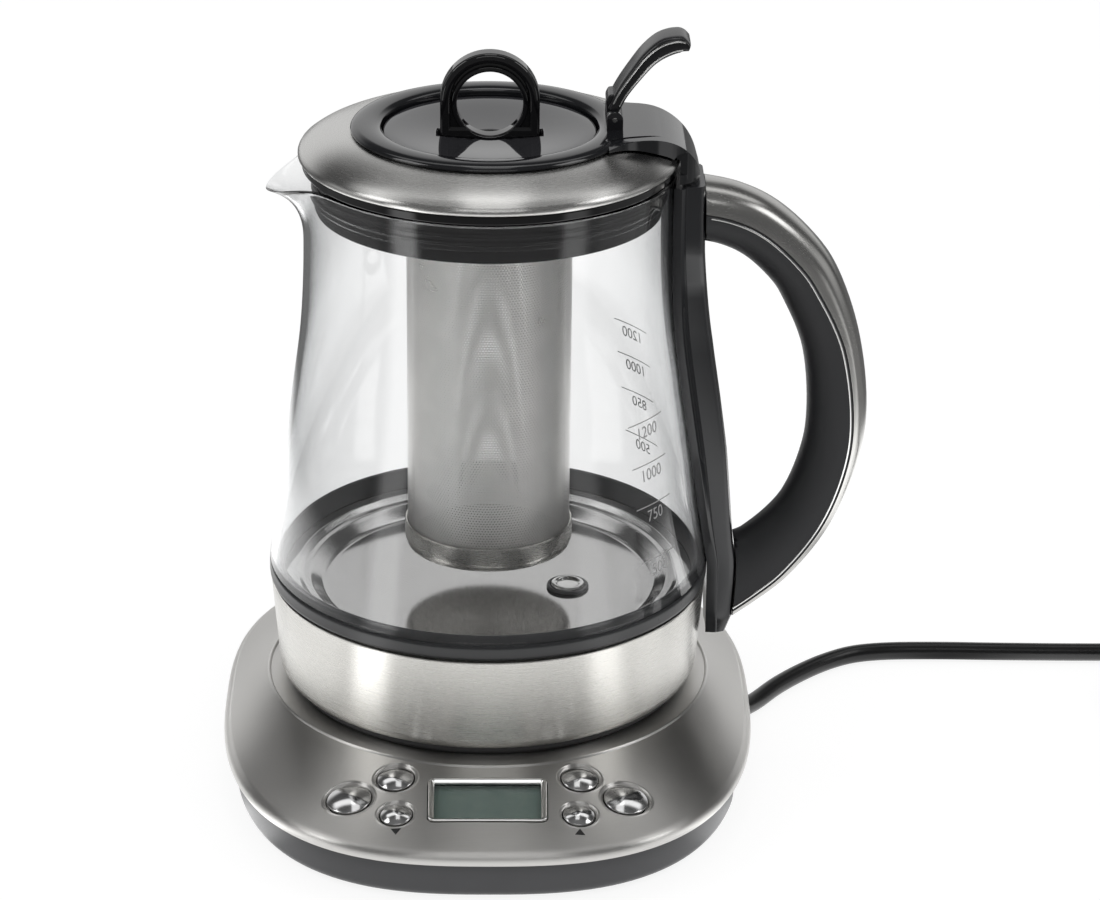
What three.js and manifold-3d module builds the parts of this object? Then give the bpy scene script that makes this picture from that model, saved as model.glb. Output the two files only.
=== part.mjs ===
// Automatic tea maker: a glass jug with a steel foot and a D-shaped handle, a lift-off lid with a
// thumb lever, a strainer with a turning cap, and a heated 360 degree base with a control panel.
// Millimetres, +Z up. Sizes are measured from the jug's own axis; the whole group is then shifted,
// so that the origin is the middle of the footprint on the table.
import * as THREE from "three";
import { mergeVertices } from "three/addons/utils/BufferGeometryUtils.js";
import Module from "manifold-3d";

const wasm = await Module();
wasm.setup();

// Driving dimensions

const gap = 0.3; // clearance between pieces that touch or seat
const overrun = 2; // how far a cutter passes what it cuts
const weld = 1e-4; // corners closer than this become one
const thin = 5; // facets of a thin wire
const sparse = 6; // facets of a screw's shank
const slim = 8; // facets of a cord, of a screw's head and of its bore
const coarse = 10; // facets of a small round piece
const bored = 12; // facets of a bore for a pin or a screw's head
const medium = 16; // facets of a middling round piece
const fine = 24; // facets of a large one

const foot = { radius: 8, height: 3.1, proud: 1.5, sideInset: 37, rearInset: 39 };

const base = {
  plateauReach: 4.6, // of the round plateau beyond the jug's foot
  sideReach: 15, // of the rim beyond the plateau
  frontReach: 44.6,
  rearReach: 25,
  squareness: 2.65, // exponent of the plan's superellipse
  height: 29.5, // of the round plateau
  rimTop: 20,
  rimBottom: 16,
  rimRound: 2.4,
  lipHeight: 0.7,
  lipWidth: 1.3,
  wall: 1.2,
  slopeShare: 1.1, // thickness measured upright where the sheet slopes
  holeSlack: 0.7, // round the loose sleeve
  sides: 28,
};

const housing = {
  inset: 11, // of its side from the cover's rim
  lean: 1.6, // how far the side leans in at the foot
  edge: 5, // rounding of the bottom edge
  wall: 2.4,
  floor: 2.6,
};

const carrier = { radius: 63, thickness: 2.2, postR: 4.2, postX: 42, postY: 40 };
const baseScrew = { headR: 2.9, headH: 1.4, shankR: 1.3, reach: 14 };

const connector = {
  radius: 17,
  height: 7.6, // over the plateau
  flange: 3,
  flangeH: 2.4,
  trenchInner: 7.8,
  trenchOuter: 11,
  trenchDepth: 8.4,
  pinHoleR: 3.4,
  pinHoleDepth: 10,
  chamfer: 1.2,
};
const sleeve = { wall: 2.4, height: 7.4 };
const plugHalf = { wall: 3.2, ceiling: 9, top: 22, bladeWall: 1.4, pinR: 2, flange: 7 };

const panel = {
  tilt: 0.202, // radians, of the display towards the front
  reach: 16.2, // of the display's middle in front of the plateau
  frameW: 40.6,
  frameH: 22.4,
  frameBorder: 2.1,
  frameCorner: 2.2,
  frameDepth: 3.2,
  frameProud: 0.5,
  windowT: 1.1,
  windowSunk: 0.9,
  lcdDepth: 5.2,
  boardDepth: 10.6, // of the board's upper side below the panel
  boardW: 99,
  boardRear: 17,
  boardFront: 11,
  boardCut: 13, // of its front corners
  boardT: 1.6,
  postR: 3,
  postX: 44,
  postReach: 8, // in front of the plateau
};
const buttonHead = { dome: 2.1, sunk: 0.5, skirt: 2.6, flangeLip: 0.9, flangeT: 0.9, stemR: 1.9 };
const buttonFit = { side: 0.35, dimpleWidth: 2.1, dimpleDepth: 0.45, travel: 0.9 };
const pushSwitch = { side: 6, height: 2.2, plungerR: 1.7, plunger: 0.6 };
const buttonRows = [
  // reach is in front of the plateau
  { name: "boil_button", x: -47.3, reach: 12.5, radius: 7.6 },
  { name: "start_button", x: 47.3, reach: 12.5, radius: 7.6 },
  { name: "time_button", x: -31.6, reach: 3.6, radius: 6.3 },
  { name: "mode_button", x: 31.6, reach: 3.6, radius: 6.3 },
  { name: "down_button", x: -31, reach: 22.4, radius: 5.4 },
  { name: "up_button", x: 31, reach: 22.4, radius: 5.4 },
];
const buttonShares = [
  [0, 0], // share of the button's radius, share of its dome's height below the top
  [0.5, 0.14],
  [0.86, 0.5],
  [1, 1],
];

const cord = { radius: 3.4, lift: 0.15, exitHeight: 8.2, straight: 6, leadSteps: 20, tailSteps: 6 };
const relief = { length: 26, rootR: 4.9, tipR: 4.3, flangeR: 5.9, flangeT: 2, ribs: 2, ribDepth: 0.5 };
const coil = {
  centreX: 281,
  centreY: 18.6,
  outerR: 43.4,
  pitch: 8.6,
  layer: 7.6,
  turnsPerLayer: 1.375,
  climb: 0.5, // turns in which the cord climbs a layer
  sides: 6,
  steps: 24, // points to a turn
};
const plug = {
  faceR: 18.5,
  bodyLength: 22,
  tailR: 8.5,
  tailLength: 24,
  pinR: 2.4,
  pinLength: 19,
  pinSpacing: 19,
  tipRound: 1.2,
  tailRun: 42, // cord between the coil and the plug
};

const foundation = { rise: 3.4, ringInset: 4.9, ringWidth: 6, wall: 2, upstand: 8, sideGap: 0.6 };
const shell = { height: 35.6, inset: 0.4, lean: 2.4, edge: 2.4, wall: 1, flange: 3.6 };
const dish = {
  wall: 1,
  ledgeInset: 10, // from the edge of its flange
  ledgeWidth: 2.4,
  stepWidth: 5,
  ledgeDrop: 1.8,
  drop: 6,
  rise: 1.6,
};
const heatPlate = { inset: 4.6, thickness: 2.6, studR: 4, studInset: 4 };
const element = { inset: 7, tubeR: 3.2, sweep: 5.3, steps: 18 };
const sensor = { x: 28.4, y: -6.8, radius: 6.1, proud: 1.7, stemR: 4.2, depth: 9, sealWall: 1.2, sealH: 0.9 };
const jugScrew = { headR: 3, headH: 1.1, shankR: 1.2, reach: 12 };

const glass = {
  height: 146.3,
  footR: 78.2,
  neckR: 64.2,
  wall: 2.2,
  rimRound: 0.9,
  lipReach: 13.4, // of the pouring lip beyond the neck
  lipDroop: 8.6,
  lipTall: 27,
  lipHalfAngle: 0.3, // radians
  lipOutPower: 2.4, // how late the lip swings out, and how late it droops
  lipDownPower: 2.6,
  sides: 28,
};
const gasket = {
  height: 5,
  skirt: 0.7,
  proud: 0.1,
  inset: 5.4,
  lipH: 2.8,
  lipWall: 1.7,
  lipLean: 0.14134, // of the lip's top away from the glass
  lipShare: 0.9921053, // the lip's radius in the glass, with room for the facets of both
};

const strap = {
  bottomDrop: 23.6, // of its tip below the gasket
  topDrop: 3.9, // of its head below the glass rim
  flangeHalf: 15,
  flangeT: 3.8,
  spineHalf: 9,
  headHalf: 13,
  spineDepth: 11.6,
  tipHalf: 6.4,
};
const handle = {
  reach: 55.2, // beyond the foot of the glass
  root: 4.8, // beyond its neck, where the crest starts
  topDrop: 3.9, // below the glass rim
  width: 25,
  lowerWidth: 17.6,
  shellWall: 1.2,
  squareness: 2.3, // exponent of its half ovals
  ovalPoints: 7,
  stations: 13,
};
const handleScrew = { headR: 2.8, headH: 1.8, shankR: 1.4, reach: 15, topDrop: 16, lowerRise: 24 };

const lid = {
  seat: 0.5, // of its flange over the glass rim
  flangeT: 2.8,
  brim: 0.2, // of its flange beyond the neck of the glass
  neckInset: 4.8,
  neckDepth: 15,
  wall: 1.9,
  boreSlack: 0.4, // round the strainer's collar
  ledgeDrop: 0.3,
  wellSlack: 0.5, // round the cap
  wellRise: 4.6,
};
const dome = { brim: 1.5, rollH: 2.1, wall: 1, rise: 9, inset: 3.4 };
const ring = { crest: 5.8, width: 10.4, crestH: 2.6 };
const tongue = { reach: 6.6, rootHalf: 20.5, tipHalf: 13, hookDrop: 17.6, cornerR: 7, steps: 7 };
const seal = { slack: 0.6, height: 10.4, lip: 1.1, bodyT: 1 };
const lever = { inset: 5.2, pivotRise: 3.6, pinR: 1.1, barrelR: 2.7, width: 15, thickness: 5, tipInset: 3.1 };
const leverArm = { height: 25.4, heelRise: 7.5, slot: 5, earT: 2.2, earWidth: 5.6 };
const spring = { wireR: 0.4, coilR: 1.85, turns: 3, pitch: 1.25, steps: 8 };

const strainer = { radius: 28.8, wall: 0.6, length: 145.5, baseH: 9, baseWall: 0.7, baseRound: 3.2 };
const collar = { flange: 4.5, flangeT: 1.9, skirtWall: 0.9, skirtH: 11 };
const cap = {
  brim: 2.2, // of the disc beyond the collar
  thickness: 5.4,
  hollow: 2.5, // how far the disc is dished in its middle
  seatT: 1.8,
  plugWall: 1.8,
  plugDepth: 8,
};
const capShares = [
  [0.86, 0.3], // share of the disc's radius, share of its hollow
  [0.55, 0.78],
  [0, 1],
];
const capSeal = { wall: 1, height: 2.4 };
const loop = { halfWidth: 17, holeR: 11.3, rise: 27.4, centreRise: 9.4, width: 7.6, web: 3, bar: 3.6 };
const loopTrim = { bevel: 1.3, collarWall: 1.9, collarWidth: 5.4, fit: 4.1 };

// Radii and places that follow from them

const shellTopR = glass.footR - shell.inset;
const shellFootR = shellTopR - shell.lean;
const dishR = glass.footR - glass.wall; // of the dish's flange
const ledgeInnerR = dishR - dish.ledgeInset;
const ledgeR = ledgeInnerR - dish.ledgeWidth;
const stepR = ledgeR - dish.stepWidth;
const heatPlateR = stepR - heatPlate.inset;
const studAtR = heatPlateR - heatPlate.studInset;
const gasketR = glass.footR + gasket.proud;
const gasketInnerR = glass.footR - gasket.inset;
const standOuterR = shellFootR - foundation.ringInset;
const standInnerR = standOuterR - foundation.ringWidth;

const plateauR = shellFootR + base.plateauReach;
const baseHalf = plateauR + base.sideReach;
const baseFront = plateauR + base.frontReach;
const baseRear = plateauR + base.rearReach;
const sleeveInner = connector.radius + gap;
const sleeveOuter = sleeveInner + sleeve.wall;
const baseHoleR = sleeveOuter + base.holeSlack;
const panelY = -(plateauR + panel.reach);
const buttons = buttonRows.map((row) => ({ ...row, y: -(plateauR + row.reach) }));

const collarR = strainer.radius + gap + collar.skirtWall;
const collarFlangeR = collarR + collar.flange;
const capR = collarFlangeR + cap.brim;
const capSeatR = collarFlangeR - gap;
const capPlugR = strainer.radius - strainer.wall - capSeal.wall - 2 * gap;
const cupR = strainer.radius + gap + strainer.baseWall;
const lidBoreR = collarR + lid.boreSlack;
const lidNeckR = glass.neckR - lid.neckInset;
const lidFlangeR = glass.neckR + lid.brim;
const lidSealR = glass.neckR - glass.wall - seal.slack;
const wellR = capR + lid.wellSlack; // of the lid's well and of the ring round it
const ringCrestR = wellR + ring.crest;
const ringOuterR = wellR + ring.width;
const domeInnerR = wellR + dome.inset;
const domeRimR = glass.neckR + dome.brim;
const tongueReach = domeRimR + tongue.reach;
const pivotX = wellR + lever.inset;
const leverTip = tongueReach - lever.tipInset;
const handleRootX = glass.neckR + handle.root;
const handleReach = glass.footR + handle.reach;

// Heights that follow from them

const baseUnder = base.height - base.wall;
const jugFoot = base.height + gap;
const shellBottom = jugFoot + foundation.rise;
const shellTop = shellBottom + shell.height;
const flangeZ = shellTop + gap; // underside of the dish's flange
const gasketTop = flangeZ + dish.wall + gap + gasket.height - gasket.skirt;
const glassFoot = gasketTop + gap;
const glassRim = glassFoot + glass.height;
const plateZ = flangeZ + dish.wall - dish.drop; // heater floor
const lidSeat = glassRim + lid.seat;
const lidTop = lidSeat + lid.flangeT;
const domeFoot = lidTop + lid.seat;
const domeTop = domeFoot + dome.rise;
const ringCrest = domeTop + ring.crestH;
const ledgeZ = lidTop - lid.ledgeDrop;
const collarTop = ledgeZ + gap + collar.flangeT;
const capFoot = collarTop + gap;
const capTop = capFoot + cap.seatT + cap.thickness;
const strapBottom = flangeZ - strap.bottomDrop;
const strapTop = glassRim - strap.topDrop;
const pivotZ = ringCrest + lever.pivotRise;

// Finishes

const finish = (color, roughness, metalness = 0, more = {}) =>
  new THREE.MeshStandardMaterial({ color, roughness, metalness, ...more });
const brushedSteel = finish(0xb4b1aa, 0.34, 1);
const polishedSteel = finish(0xcfcfcd, 0.12, 1);
const glossyBlack = finish(0x0c0c0d, 0.12);
const slatePlastic = finish(0x3a3b3e, 0.26);
const greyPlastic = finish(0x5b5b5d, 0.5);
const mattBlack = finish(0x1c1d1f, 0.62);
const innerPlastic = finish(0x2b2b2c, 0.6);
const rubber = finish(0x161616, 0.85);
const silicone = finish(0x2e2f30, 0.55);
const boardGreen = finish(0x1f5a35, 0.55);
const aluminium = finish(0xb9bbbd, 0.45, 1);
const displayGrey = finish(0x74867f, 0.35);
const clearGlass = finish(0xf4f8f8, 0.03, 0, { transparent: true, opacity: 0.25 });
const clearPlastic = finish(0xe4ebe8, 0.06, 0, { transparent: true, opacity: 0.3 });

// Solids: a geometry becomes a manifold to be joined or cut, and comes back as a geometry

const merged = (geometry) => {
  const bare = geometry.clone();
  for (const name of Object.keys(bare.attributes)) if (name !== "position") bare.deleteAttribute(name);
  return mergeVertices(bare, weld);
};

function solid(geometry) {
  const { attributes, index } = merged(geometry);
  const make = (triVerts) =>
    new wasm.Manifold(
      new wasm.Mesh({ numProp: 3, vertProperties: attributes.position.array, triVerts }),
    );
  const made = make(new Uint32Array(index.array));
  return made.volume() > 0 ? made : make(new Uint32Array(index.array).reverse());
}

function geometryOf(manifold) {
  const { numProp, vertProperties, triVerts } = manifold.getMesh();
  const position = new THREE.BufferAttribute(new Float32Array(vertProperties), numProp);
  const geometry = new THREE.BufferGeometry().setAttribute("position", position);
  geometry.setIndex(new THREE.BufferAttribute(new Uint32Array(triVerts), 1));
  geometry.computeVertexNormals();
  return geometry;
}

const join = (...solids) => solids.reduce((all, one) => all.add(one));
const cut = (body, ...cutters) => cutters.reduce((left, one) => left.subtract(one), body);

// A closed [radius, height] profile turned about the Z axis.
function turned(profile, sides = fine) {
  const points = [...profile, profile[0]].map(([r, z]) => new THREE.Vector2(r, z));
  return solid(new THREE.LatheGeometry(points, sides).rotateX(Math.PI / 2));
}

// A plan outline pushed up from z0 to z1.
function pushed(shape, z0, z1, options = {}) {
  const settings = { depth: z1 - z0, bevelEnabled: false, curveSegments: 2, ...options };
  return solid(new THREE.ExtrudeGeometry(shape, settings).translate(0, 0, z0));
}

// Rings of points joined in turn. Without caps the last ring joins the first.
function lofted(rings, caps) {
  const count = rings[0].length;
  const points = rings.flat();
  const index = [];
  const last = caps ? rings.length - 1 : rings.length;
  for (let i = 0; i < last; i++) {
    const a = i * count;
    const b = ((i + 1) % rings.length) * count;
    for (let j = 0; j < count; j++) {
      const k = (j + 1) % count;
      index.push(a + j, a + k, b + k, a + j, b + k, b + j);
    }
  }
  if (caps) {
    const end = (rings.length - 1) * count;
    const clockwise = THREE.ShapeUtils.isClockWise(caps);
    for (const face of THREE.ShapeUtils.triangulateShape(caps, [])) {
      const [p, q, r] = clockwise ? face.toReversed() : face;
      index.push(r, q, p, end + p, end + q, end + r);
    }
  }
  const geometry = new THREE.BufferGeometry().setFromPoints(points);
  geometry.setIndex(index);
  return solid(geometry);
}

// A rod from one point towards another.
function rod(from, direction, radius, length, sides = coarse) {
  const along = direction.clone().normalize();
  const turn = new THREE.Quaternion().setFromUnitVectors(new THREE.Vector3(0, 1, 0), along);
  const geometry = new THREE.CylinderGeometry(radius, radius, length, sides)
    .translate(0, length / 2, 0)
    .applyQuaternion(turn)
    .translate(from.x, from.y, from.z);
  return solid(geometry);
}

function block(width, depth, height, at = new THREE.Vector3()) {
  return solid(new THREE.BoxGeometry(width, depth, height).translate(at.x, at.y, at.z));
}

function roundedRectangle(width, height, corner) {
  const shape = new THREE.Shape();
  const x = width / 2 - corner;
  const y = height / 2 - corner;
  shape.absarc(x, -y, corner, -Math.PI / 2, 0);
  shape.absarc(x, y, corner, 0, Math.PI / 2);
  shape.absarc(-x, y, corner, Math.PI / 2, Math.PI);
  shape.absarc(-x, -y, corner, Math.PI, 1.5 * Math.PI);
  return shape;
}

// A screw with its head's outer side at the start and its shank running inwards.
function screw(from, direction, { headR, headH, shankR, reach }) {
  const along = direction.clone().normalize();
  const shankFrom = from.clone().addScaledVector(along, headH / 2);
  return join(
    rod(from, along, headR, headH, slim),
    rod(shankFrom, along, shankR, reach - headH / 2, sparse),
  );
}

// The hole that a screw needs: its shank's bore with running clearance.
const screwBore = (from, direction, { shankR, reach }) =>
  rod(from, direction, shankR + gap, reach + overrun, slim);

const group = new THREE.Group();
function add(name, body, material) {
  const mesh = new THREE.Mesh(geometryOf(body), material);
  mesh.name = name;
  group.add(mesh);
  return mesh;
}

// Base: the cover is a loft from the round plateau to a superellipse rim

const planRadius = (angle, inset = 0) => {
  const c = Math.abs(Math.cos(angle)) / baseHalf;
  const s = Math.abs(Math.sin(angle)) / (Math.sin(angle) < 0 ? baseFront : baseRear);
  return Math.pow(c ** base.squareness + s ** base.squareness, -1 / base.squareness) - inset;
};
const slopeZ = (angle, r) => {
  const share = (r - plateauR) / (planRadius(angle) - plateauR);
  return base.height - Math.max(0, share) * (base.height - base.rimTop);
};
const coverZ = (x, y) => slopeZ(Math.atan2(y, x), Math.hypot(x, y));

// Rows of {r, z} as functions of the angle, closed in a ring.
function aroundPlan(rows, sides = base.sides) {
  const ringOf = (row) =>
    Array.from({ length: sides }, (unused, i) => {
      const angle = (2 * Math.PI * i) / sides;
      const { r, z } = row(angle);
      return new THREE.Vector3(r * Math.cos(angle), r * Math.sin(angle), z);
    });
  return lofted(rows.map(ringOf));
}

function coverBody() {
  const { wall, slopeShare, lipHeight, lipWidth, rimRound, height } = base;
  const flat = (r, z) => () => ({ r, z });
  const slope = (share, drop) => (angle) => {
    const r = plateauR + share * (planRadius(angle) - rimRound - plateauR);
    return { r, z: slopeZ(angle, r) - drop };
  };
  const rim = (inset, z) => (angle) => ({ r: planRadius(angle, inset), z });
  return aroundPlan([
    flat(baseHoleR, height - wall),
    flat(baseHoleR, height),
    flat(plateauR - lipWidth, height),
    flat(plateauR - lipWidth / 2, height + lipHeight),
    flat(plateauR, height),
    slope(1, 0),
    rim(rimRound / 4, base.rimTop - rimRound / 3),
    rim(0, base.rimTop - rimRound),
    rim(0, base.rimBottom + rimRound / 4),
    rim(rimRound / 4, base.rimBottom),
    rim(wall, base.rimBottom),
    rim(wall, base.rimTop - rimRound - wall / 2),
    slope(1 - wall / plateauR, wall * slopeShare),
    flat(plateauR - lipWidth, height - wall),
  ]);
}

// A button's seat on the cover, with its axis square to the sheet there.
function buttonSeat({ x, y }) {
  const step = base.wall;
  const slopeX = (coverZ(x + step, y) - coverZ(x - step, y)) / (2 * step);
  const slopeY = (coverZ(x, y + step) - coverZ(x, y - step)) / (2 * step);
  const normal = new THREE.Vector3(-slopeX, -slopeY, 1).normalize();
  return { at: new THREE.Vector3(x, y, coverZ(x, y)), normal };
}

const panelCentre = new THREE.Vector3(0, panelY, coverZ(0, panelY));
const panelTurn = new THREE.Matrix4()
  .makeRotationX(panel.tilt)
  .premultiply(new THREE.Matrix4().makeTranslation(panelCentre));
const panelNormal = new THREE.Vector3(0, 0, 1).transformDirection(panelTurn);
const onPanel = (body) => body.transform(panelTurn.elements);

const frameOutline = (grow) =>
  roundedRectangle(panel.frameW + 2 * grow, panel.frameH + 2 * grow, panel.frameCorner + grow);
const windowW = panel.frameW - 2 * panel.frameBorder;
const windowH = panel.frameH - 2 * panel.frameBorder;

function seatCutters(button) {
  const { at, normal } = buttonSeat(button);
  const below = at.clone().addScaledVector(normal, -overrun * 2);
  const dimple = at.clone().addScaledVector(normal, -buttonFit.dimpleDepth);
  return [
    rod(below, normal, button.radius + buttonFit.side, overrun * 4, coarse),
    rod(dimple, normal, button.radius + buttonFit.dimpleWidth, overrun * 2, bored),
  ];
}

const cover = cut(
  coverBody(),
  onPanel(pushed(frameOutline(gap), -panel.frameDepth - overrun, overrun * 2)),
  ...buttons.flatMap(seatCutters),
);
add("base_cover", cover, brushedSteel);

// Housing: a plastic tray with a rounded foot, posts for the board and a notch for the cord

const exitDirection = new THREE.Vector3(1, 1.43, 0).normalize();
const exitShares = { x: 0.874, y: -0.022 }; // where the cord leaves the housing's side
const exitPoint = new THREE.Vector3(
  exitShares.x * baseHalf,
  exitShares.y * baseFront,
  cord.exitHeight,
);
const reliefRoot = exitPoint.clone().addScaledVector(exitDirection, -relief.length);

function housingBody() {
  const { inset, lean, edge, wall, floor } = housing;
  const top = base.rimBottom - gap;
  const side = (depth, z) => (angle) => ({ r: planRadius(angle, inset + depth), z });
  const leanAt = (z) => (lean * (top - z)) / (top - foot.proud);
  return aroundPlan([
    () => ({ r: 0, z: foot.proud }),
    side(lean + edge, foot.proud),
    side(lean + edge / 3, foot.proud + edge / 6),
    side(leanAt(foot.proud + edge), foot.proud + edge),
    side(0, top),
    side(wall, top),
    side(leanAt(foot.proud + edge) + wall, foot.proud + edge),
    side(lean + edge / 3 + wall, foot.proud + floor),
    () => ({ r: 0, z: foot.proud + floor }),
  ]);
}

const floorTop = foot.proud + housing.floor;
const corners = (x, y) => [
  [-x, -y],
  [x, -y],
  [x, y],
  [-x, y],
];
const down = new THREE.Vector3(0, 0, -1);
const up = new THREE.Vector3(0, 0, 1);

const boardUnder = -panel.boardDepth - panel.boardT;
function boardPosts() {
  const reach = base.height;
  const posts = [-panel.postX, panel.postX].map((x) =>
    rod(new THREE.Vector3(x, -(plateauR + panel.postReach), floorTop - gap), up, panel.postR, reach, coarse),
  );
  const above = onPanel(
    pushed(roundedRectangle(baseHalf * 2, baseFront, panel.frameCorner), boardUnder - gap, reach),
  );
  return posts.map((post) => cut(post, above));
}

const footX = baseHalf - foot.sideInset;
const footRearY = baseRear - foot.rearInset;
const footSpots = [
  ["foot_front_left", -footX, -plateauR],
  ["foot_front_right", footX, -plateauR],
  ["foot_rear_right", footX, footRearY],
  ["foot_rear_left", -footX, footRearY],
];
const postSpots = corners(carrier.postX, carrier.postY);

function cordPocket() {
  const start = reliefRoot.clone().addScaledVector(exitDirection, -relief.flangeT - gap);
  return [
    rod(start, exitDirection, relief.flangeR + gap, relief.flangeT + 2 * gap, coarse),
    rod(start, exitDirection, relief.rootR + gap, relief.length + housing.inset, coarse),
  ];
}
function cordHood() {
  const back = reliefRoot.clone().addScaledVector(exitDirection, -relief.flangeT - housing.wall);
  const length = relief.length + relief.flangeT + housing.wall - housing.wall / 2;
  const hood = rod(back, exitDirection, relief.flangeR + housing.wall, length, coarse);
  const under = new THREE.Vector3(0, 0, foot.proud - base.height);
  return cut(hood, block(baseHalf * 4, baseFront * 4, base.height * 2, under));
}

const housingSolid = cut(
  join(housingBody(), ...boardPosts(), cordHood()),
  ...cordPocket(),
  ...footSpots.map(([, x, y]) =>
    rod(new THREE.Vector3(x, y, 0), up, foot.radius + gap, foot.height + gap, coarse),
  ),
  ...postSpots.flatMap(([x, y]) => {
    const head = new THREE.Vector3(x, y, foot.proud - overrun);
    return [
      rod(head, up, baseScrew.headR + gap, overrun + baseScrew.headH + gap, coarse),
      rod(head, up, baseScrew.shankR + gap, base.height / 2, slim),
    ];
  }),
);
add("base_housing", housingSolid, greyPlastic);

for (const [name, x, y] of footSpots) {
  const profile = [
    [0, 0],
    [foot.radius - foot.proud / 3, 0],
    [foot.radius, foot.proud / 2],
    [foot.radius, foot.height],
    [0, foot.height],
  ];
  add(name, turned(profile, coarse).translate(x, y, 0), rubber);
}

// Carrier of the power socket, hung from four posts on screws

function carrierBody() {
  const top = baseUnder - gap;
  const bottom = top - carrier.thickness;
  const plate = turned([
    [connector.radius + gap, bottom],
    [carrier.radius, bottom],
    [carrier.radius, top],
    [connector.radius + gap, top],
  ]);
  const posts = postSpots.map(([x, y]) =>
    rod(new THREE.Vector3(x, y, floorTop + gap), up, carrier.postR, bottom - floorTop, slim),
  );
  const bores = postSpots.map(([x, y]) =>
    screwBore(new THREE.Vector3(x, y, floorTop), up, baseScrew),
  );
  return cut(join(plate, ...posts), ...bores);
}
add("connector_carrier", carrierBody(), innerPlastic);

postSpots.forEach(([x, y], i) => {
  const from = new THREE.Vector3(x, y, foot.proud);
  add("base_screw_" + (i + 1), screw(from, up, baseScrew), polishedSteel);
});

// Power socket with its ring trench and centre hole, and the loose sleeve round it

const socketTop = base.height + connector.height;
const carrierUnder = baseUnder - gap - carrier.thickness;
const socketProfile = [
  [connector.pinHoleR, socketTop - connector.pinHoleDepth],
  [connector.pinHoleR, socketTop],
  [connector.trenchInner, socketTop],
  [connector.trenchInner, socketTop - connector.trenchDepth],
  [connector.trenchOuter, socketTop - connector.trenchDepth],
  [connector.trenchOuter, socketTop],
  [connector.radius - connector.chamfer, socketTop],
  [connector.radius, socketTop - connector.chamfer],
  [connector.radius, carrierUnder - gap],
  [connector.radius + connector.flange, carrierUnder - gap],
  [connector.radius + connector.flange, carrierUnder - gap - connector.flangeH],
  [0, carrierUnder - gap - connector.flangeH],
  [0, socketTop - connector.pinHoleDepth],
];
add("base_connector", turned(socketProfile, medium), glossyBlack);

const sleeveProfile = [
  [sleeveInner, baseUnder],
  [sleeveOuter, baseUnder],
  [sleeveOuter, baseUnder + sleeve.height],
  [sleeveInner, baseUnder + sleeve.height],
];
add("socket_sleeve", turned(sleeveProfile, medium), innerPlastic);

// Control panel

const frameSolid = cut(
  pushed(frameOutline(0), -panel.frameDepth, panel.frameProud),
  pushed(roundedRectangle(windowW, windowH, panel.frameCorner / 2), -panel.frameDepth - gap, overrun),
  pushed(
    roundedRectangle(windowW + panel.frameBorder, windowH + panel.frameBorder, panel.frameCorner),
    -panel.frameDepth - gap,
    -panel.windowSunk,
  ),
);
add("display_frame", onPanel(frameSolid), polishedSteel);

const paneW = windowW + panel.frameBorder - 2 * gap;
const paneH = windowH + panel.frameBorder - 2 * gap;
const paneTop = -panel.windowSunk - gap;
const paneShape = roundedRectangle(paneW, paneH, panel.frameCorner - gap);
const pane = pushed(paneShape, paneTop - panel.windowT, paneTop);
add("display_window", onPanel(pane), clearPlastic);

const lcdTop = paneTop - panel.windowT - gap;
const boardTop = -panel.boardDepth;
const lcd = join(
  pushed(paneShape, lcdTop - panel.lcdDepth, lcdTop),
  pushed(roundedRectangle(paneW / 2, paneH / 2, panel.frameCorner), boardTop + gap, lcdTop - gap),
);
add("lcd_module", onPanel(lcd), displayGrey);

// Distance along a button's axis from the cover down to the board.
function boardDistance({ at, normal }) {
  const plane = panelCentre.clone().addScaledVector(panelNormal, boardTop);
  return at.clone().sub(plane).dot(panelNormal) / normal.dot(panelNormal);
}

function switchOn(button) {
  const seat = buttonSeat(button);
  const foot = seat.at.clone().addScaledVector(seat.normal, -boardDistance(seat));
  const local = foot.clone().applyMatrix4(panelTurn.clone().invert());
  const can = block(pushSwitch.side, pushSwitch.side, pushSwitch.height + gap, new THREE.Vector3(
    local.x,
    local.y,
    boardTop + (pushSwitch.height - gap) / 2,
  ));
  const plungerFoot = new THREE.Vector3(local.x, local.y, boardTop);
  const length = pushSwitch.height + pushSwitch.plunger;
  return join(can, rod(plungerFoot, up, pushSwitch.plungerR, length));
}
const boardOutline = new THREE.Shape([
  new THREE.Vector2(panel.boardW / 2, panel.boardRear),
  new THREE.Vector2(-panel.boardW / 2, panel.boardRear),
  new THREE.Vector2(-panel.boardW / 2, 0),
  new THREE.Vector2(panel.boardCut - panel.boardW / 2, -panel.boardFront),
  new THREE.Vector2(panel.boardW / 2 - panel.boardCut, -panel.boardFront),
  new THREE.Vector2(panel.boardW / 2, 0),
]);
const board = join(
  pushed(boardOutline, boardUnder, boardTop),
  ...buttons.map(switchOn),
);
add("control_board", onPanel(board), boardGreen);

for (const button of buttons) {
  const seat = buttonSeat(button);
  const { dome: domeH, sunk, skirt, flangeLip, flangeT, stemR } = buttonHead;
  const r = button.radius;
  const flangeTop = -base.wall * base.slopeShare - gap - sunk / 2;
  const switchTop = pushSwitch.height + pushSwitch.plunger;
  const reach = boardDistance(seat) - switchTop - buttonFit.travel - 3 * gap;
  const profile = [
    ...buttonShares.map(([out, deep]) => [r * out, domeH * (1 - deep) - sunk]),
    [r, flangeTop - gap],
    [r + flangeLip, flangeTop - gap],
    [r + flangeLip, flangeTop - gap - flangeT],
    [stemR, flangeTop - gap - skirt / 2],
    [stemR, -reach],
    [0, -reach],
  ];
  const turn = new THREE.Quaternion().setFromUnitVectors(up, seat.normal);
  const place = new THREE.Matrix4().compose(seat.at, turn, new THREE.Vector3(1, 1, 1));
  add(button.name, turned(profile, coarse).transform(place.elements), polishedSteel);
}

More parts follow.
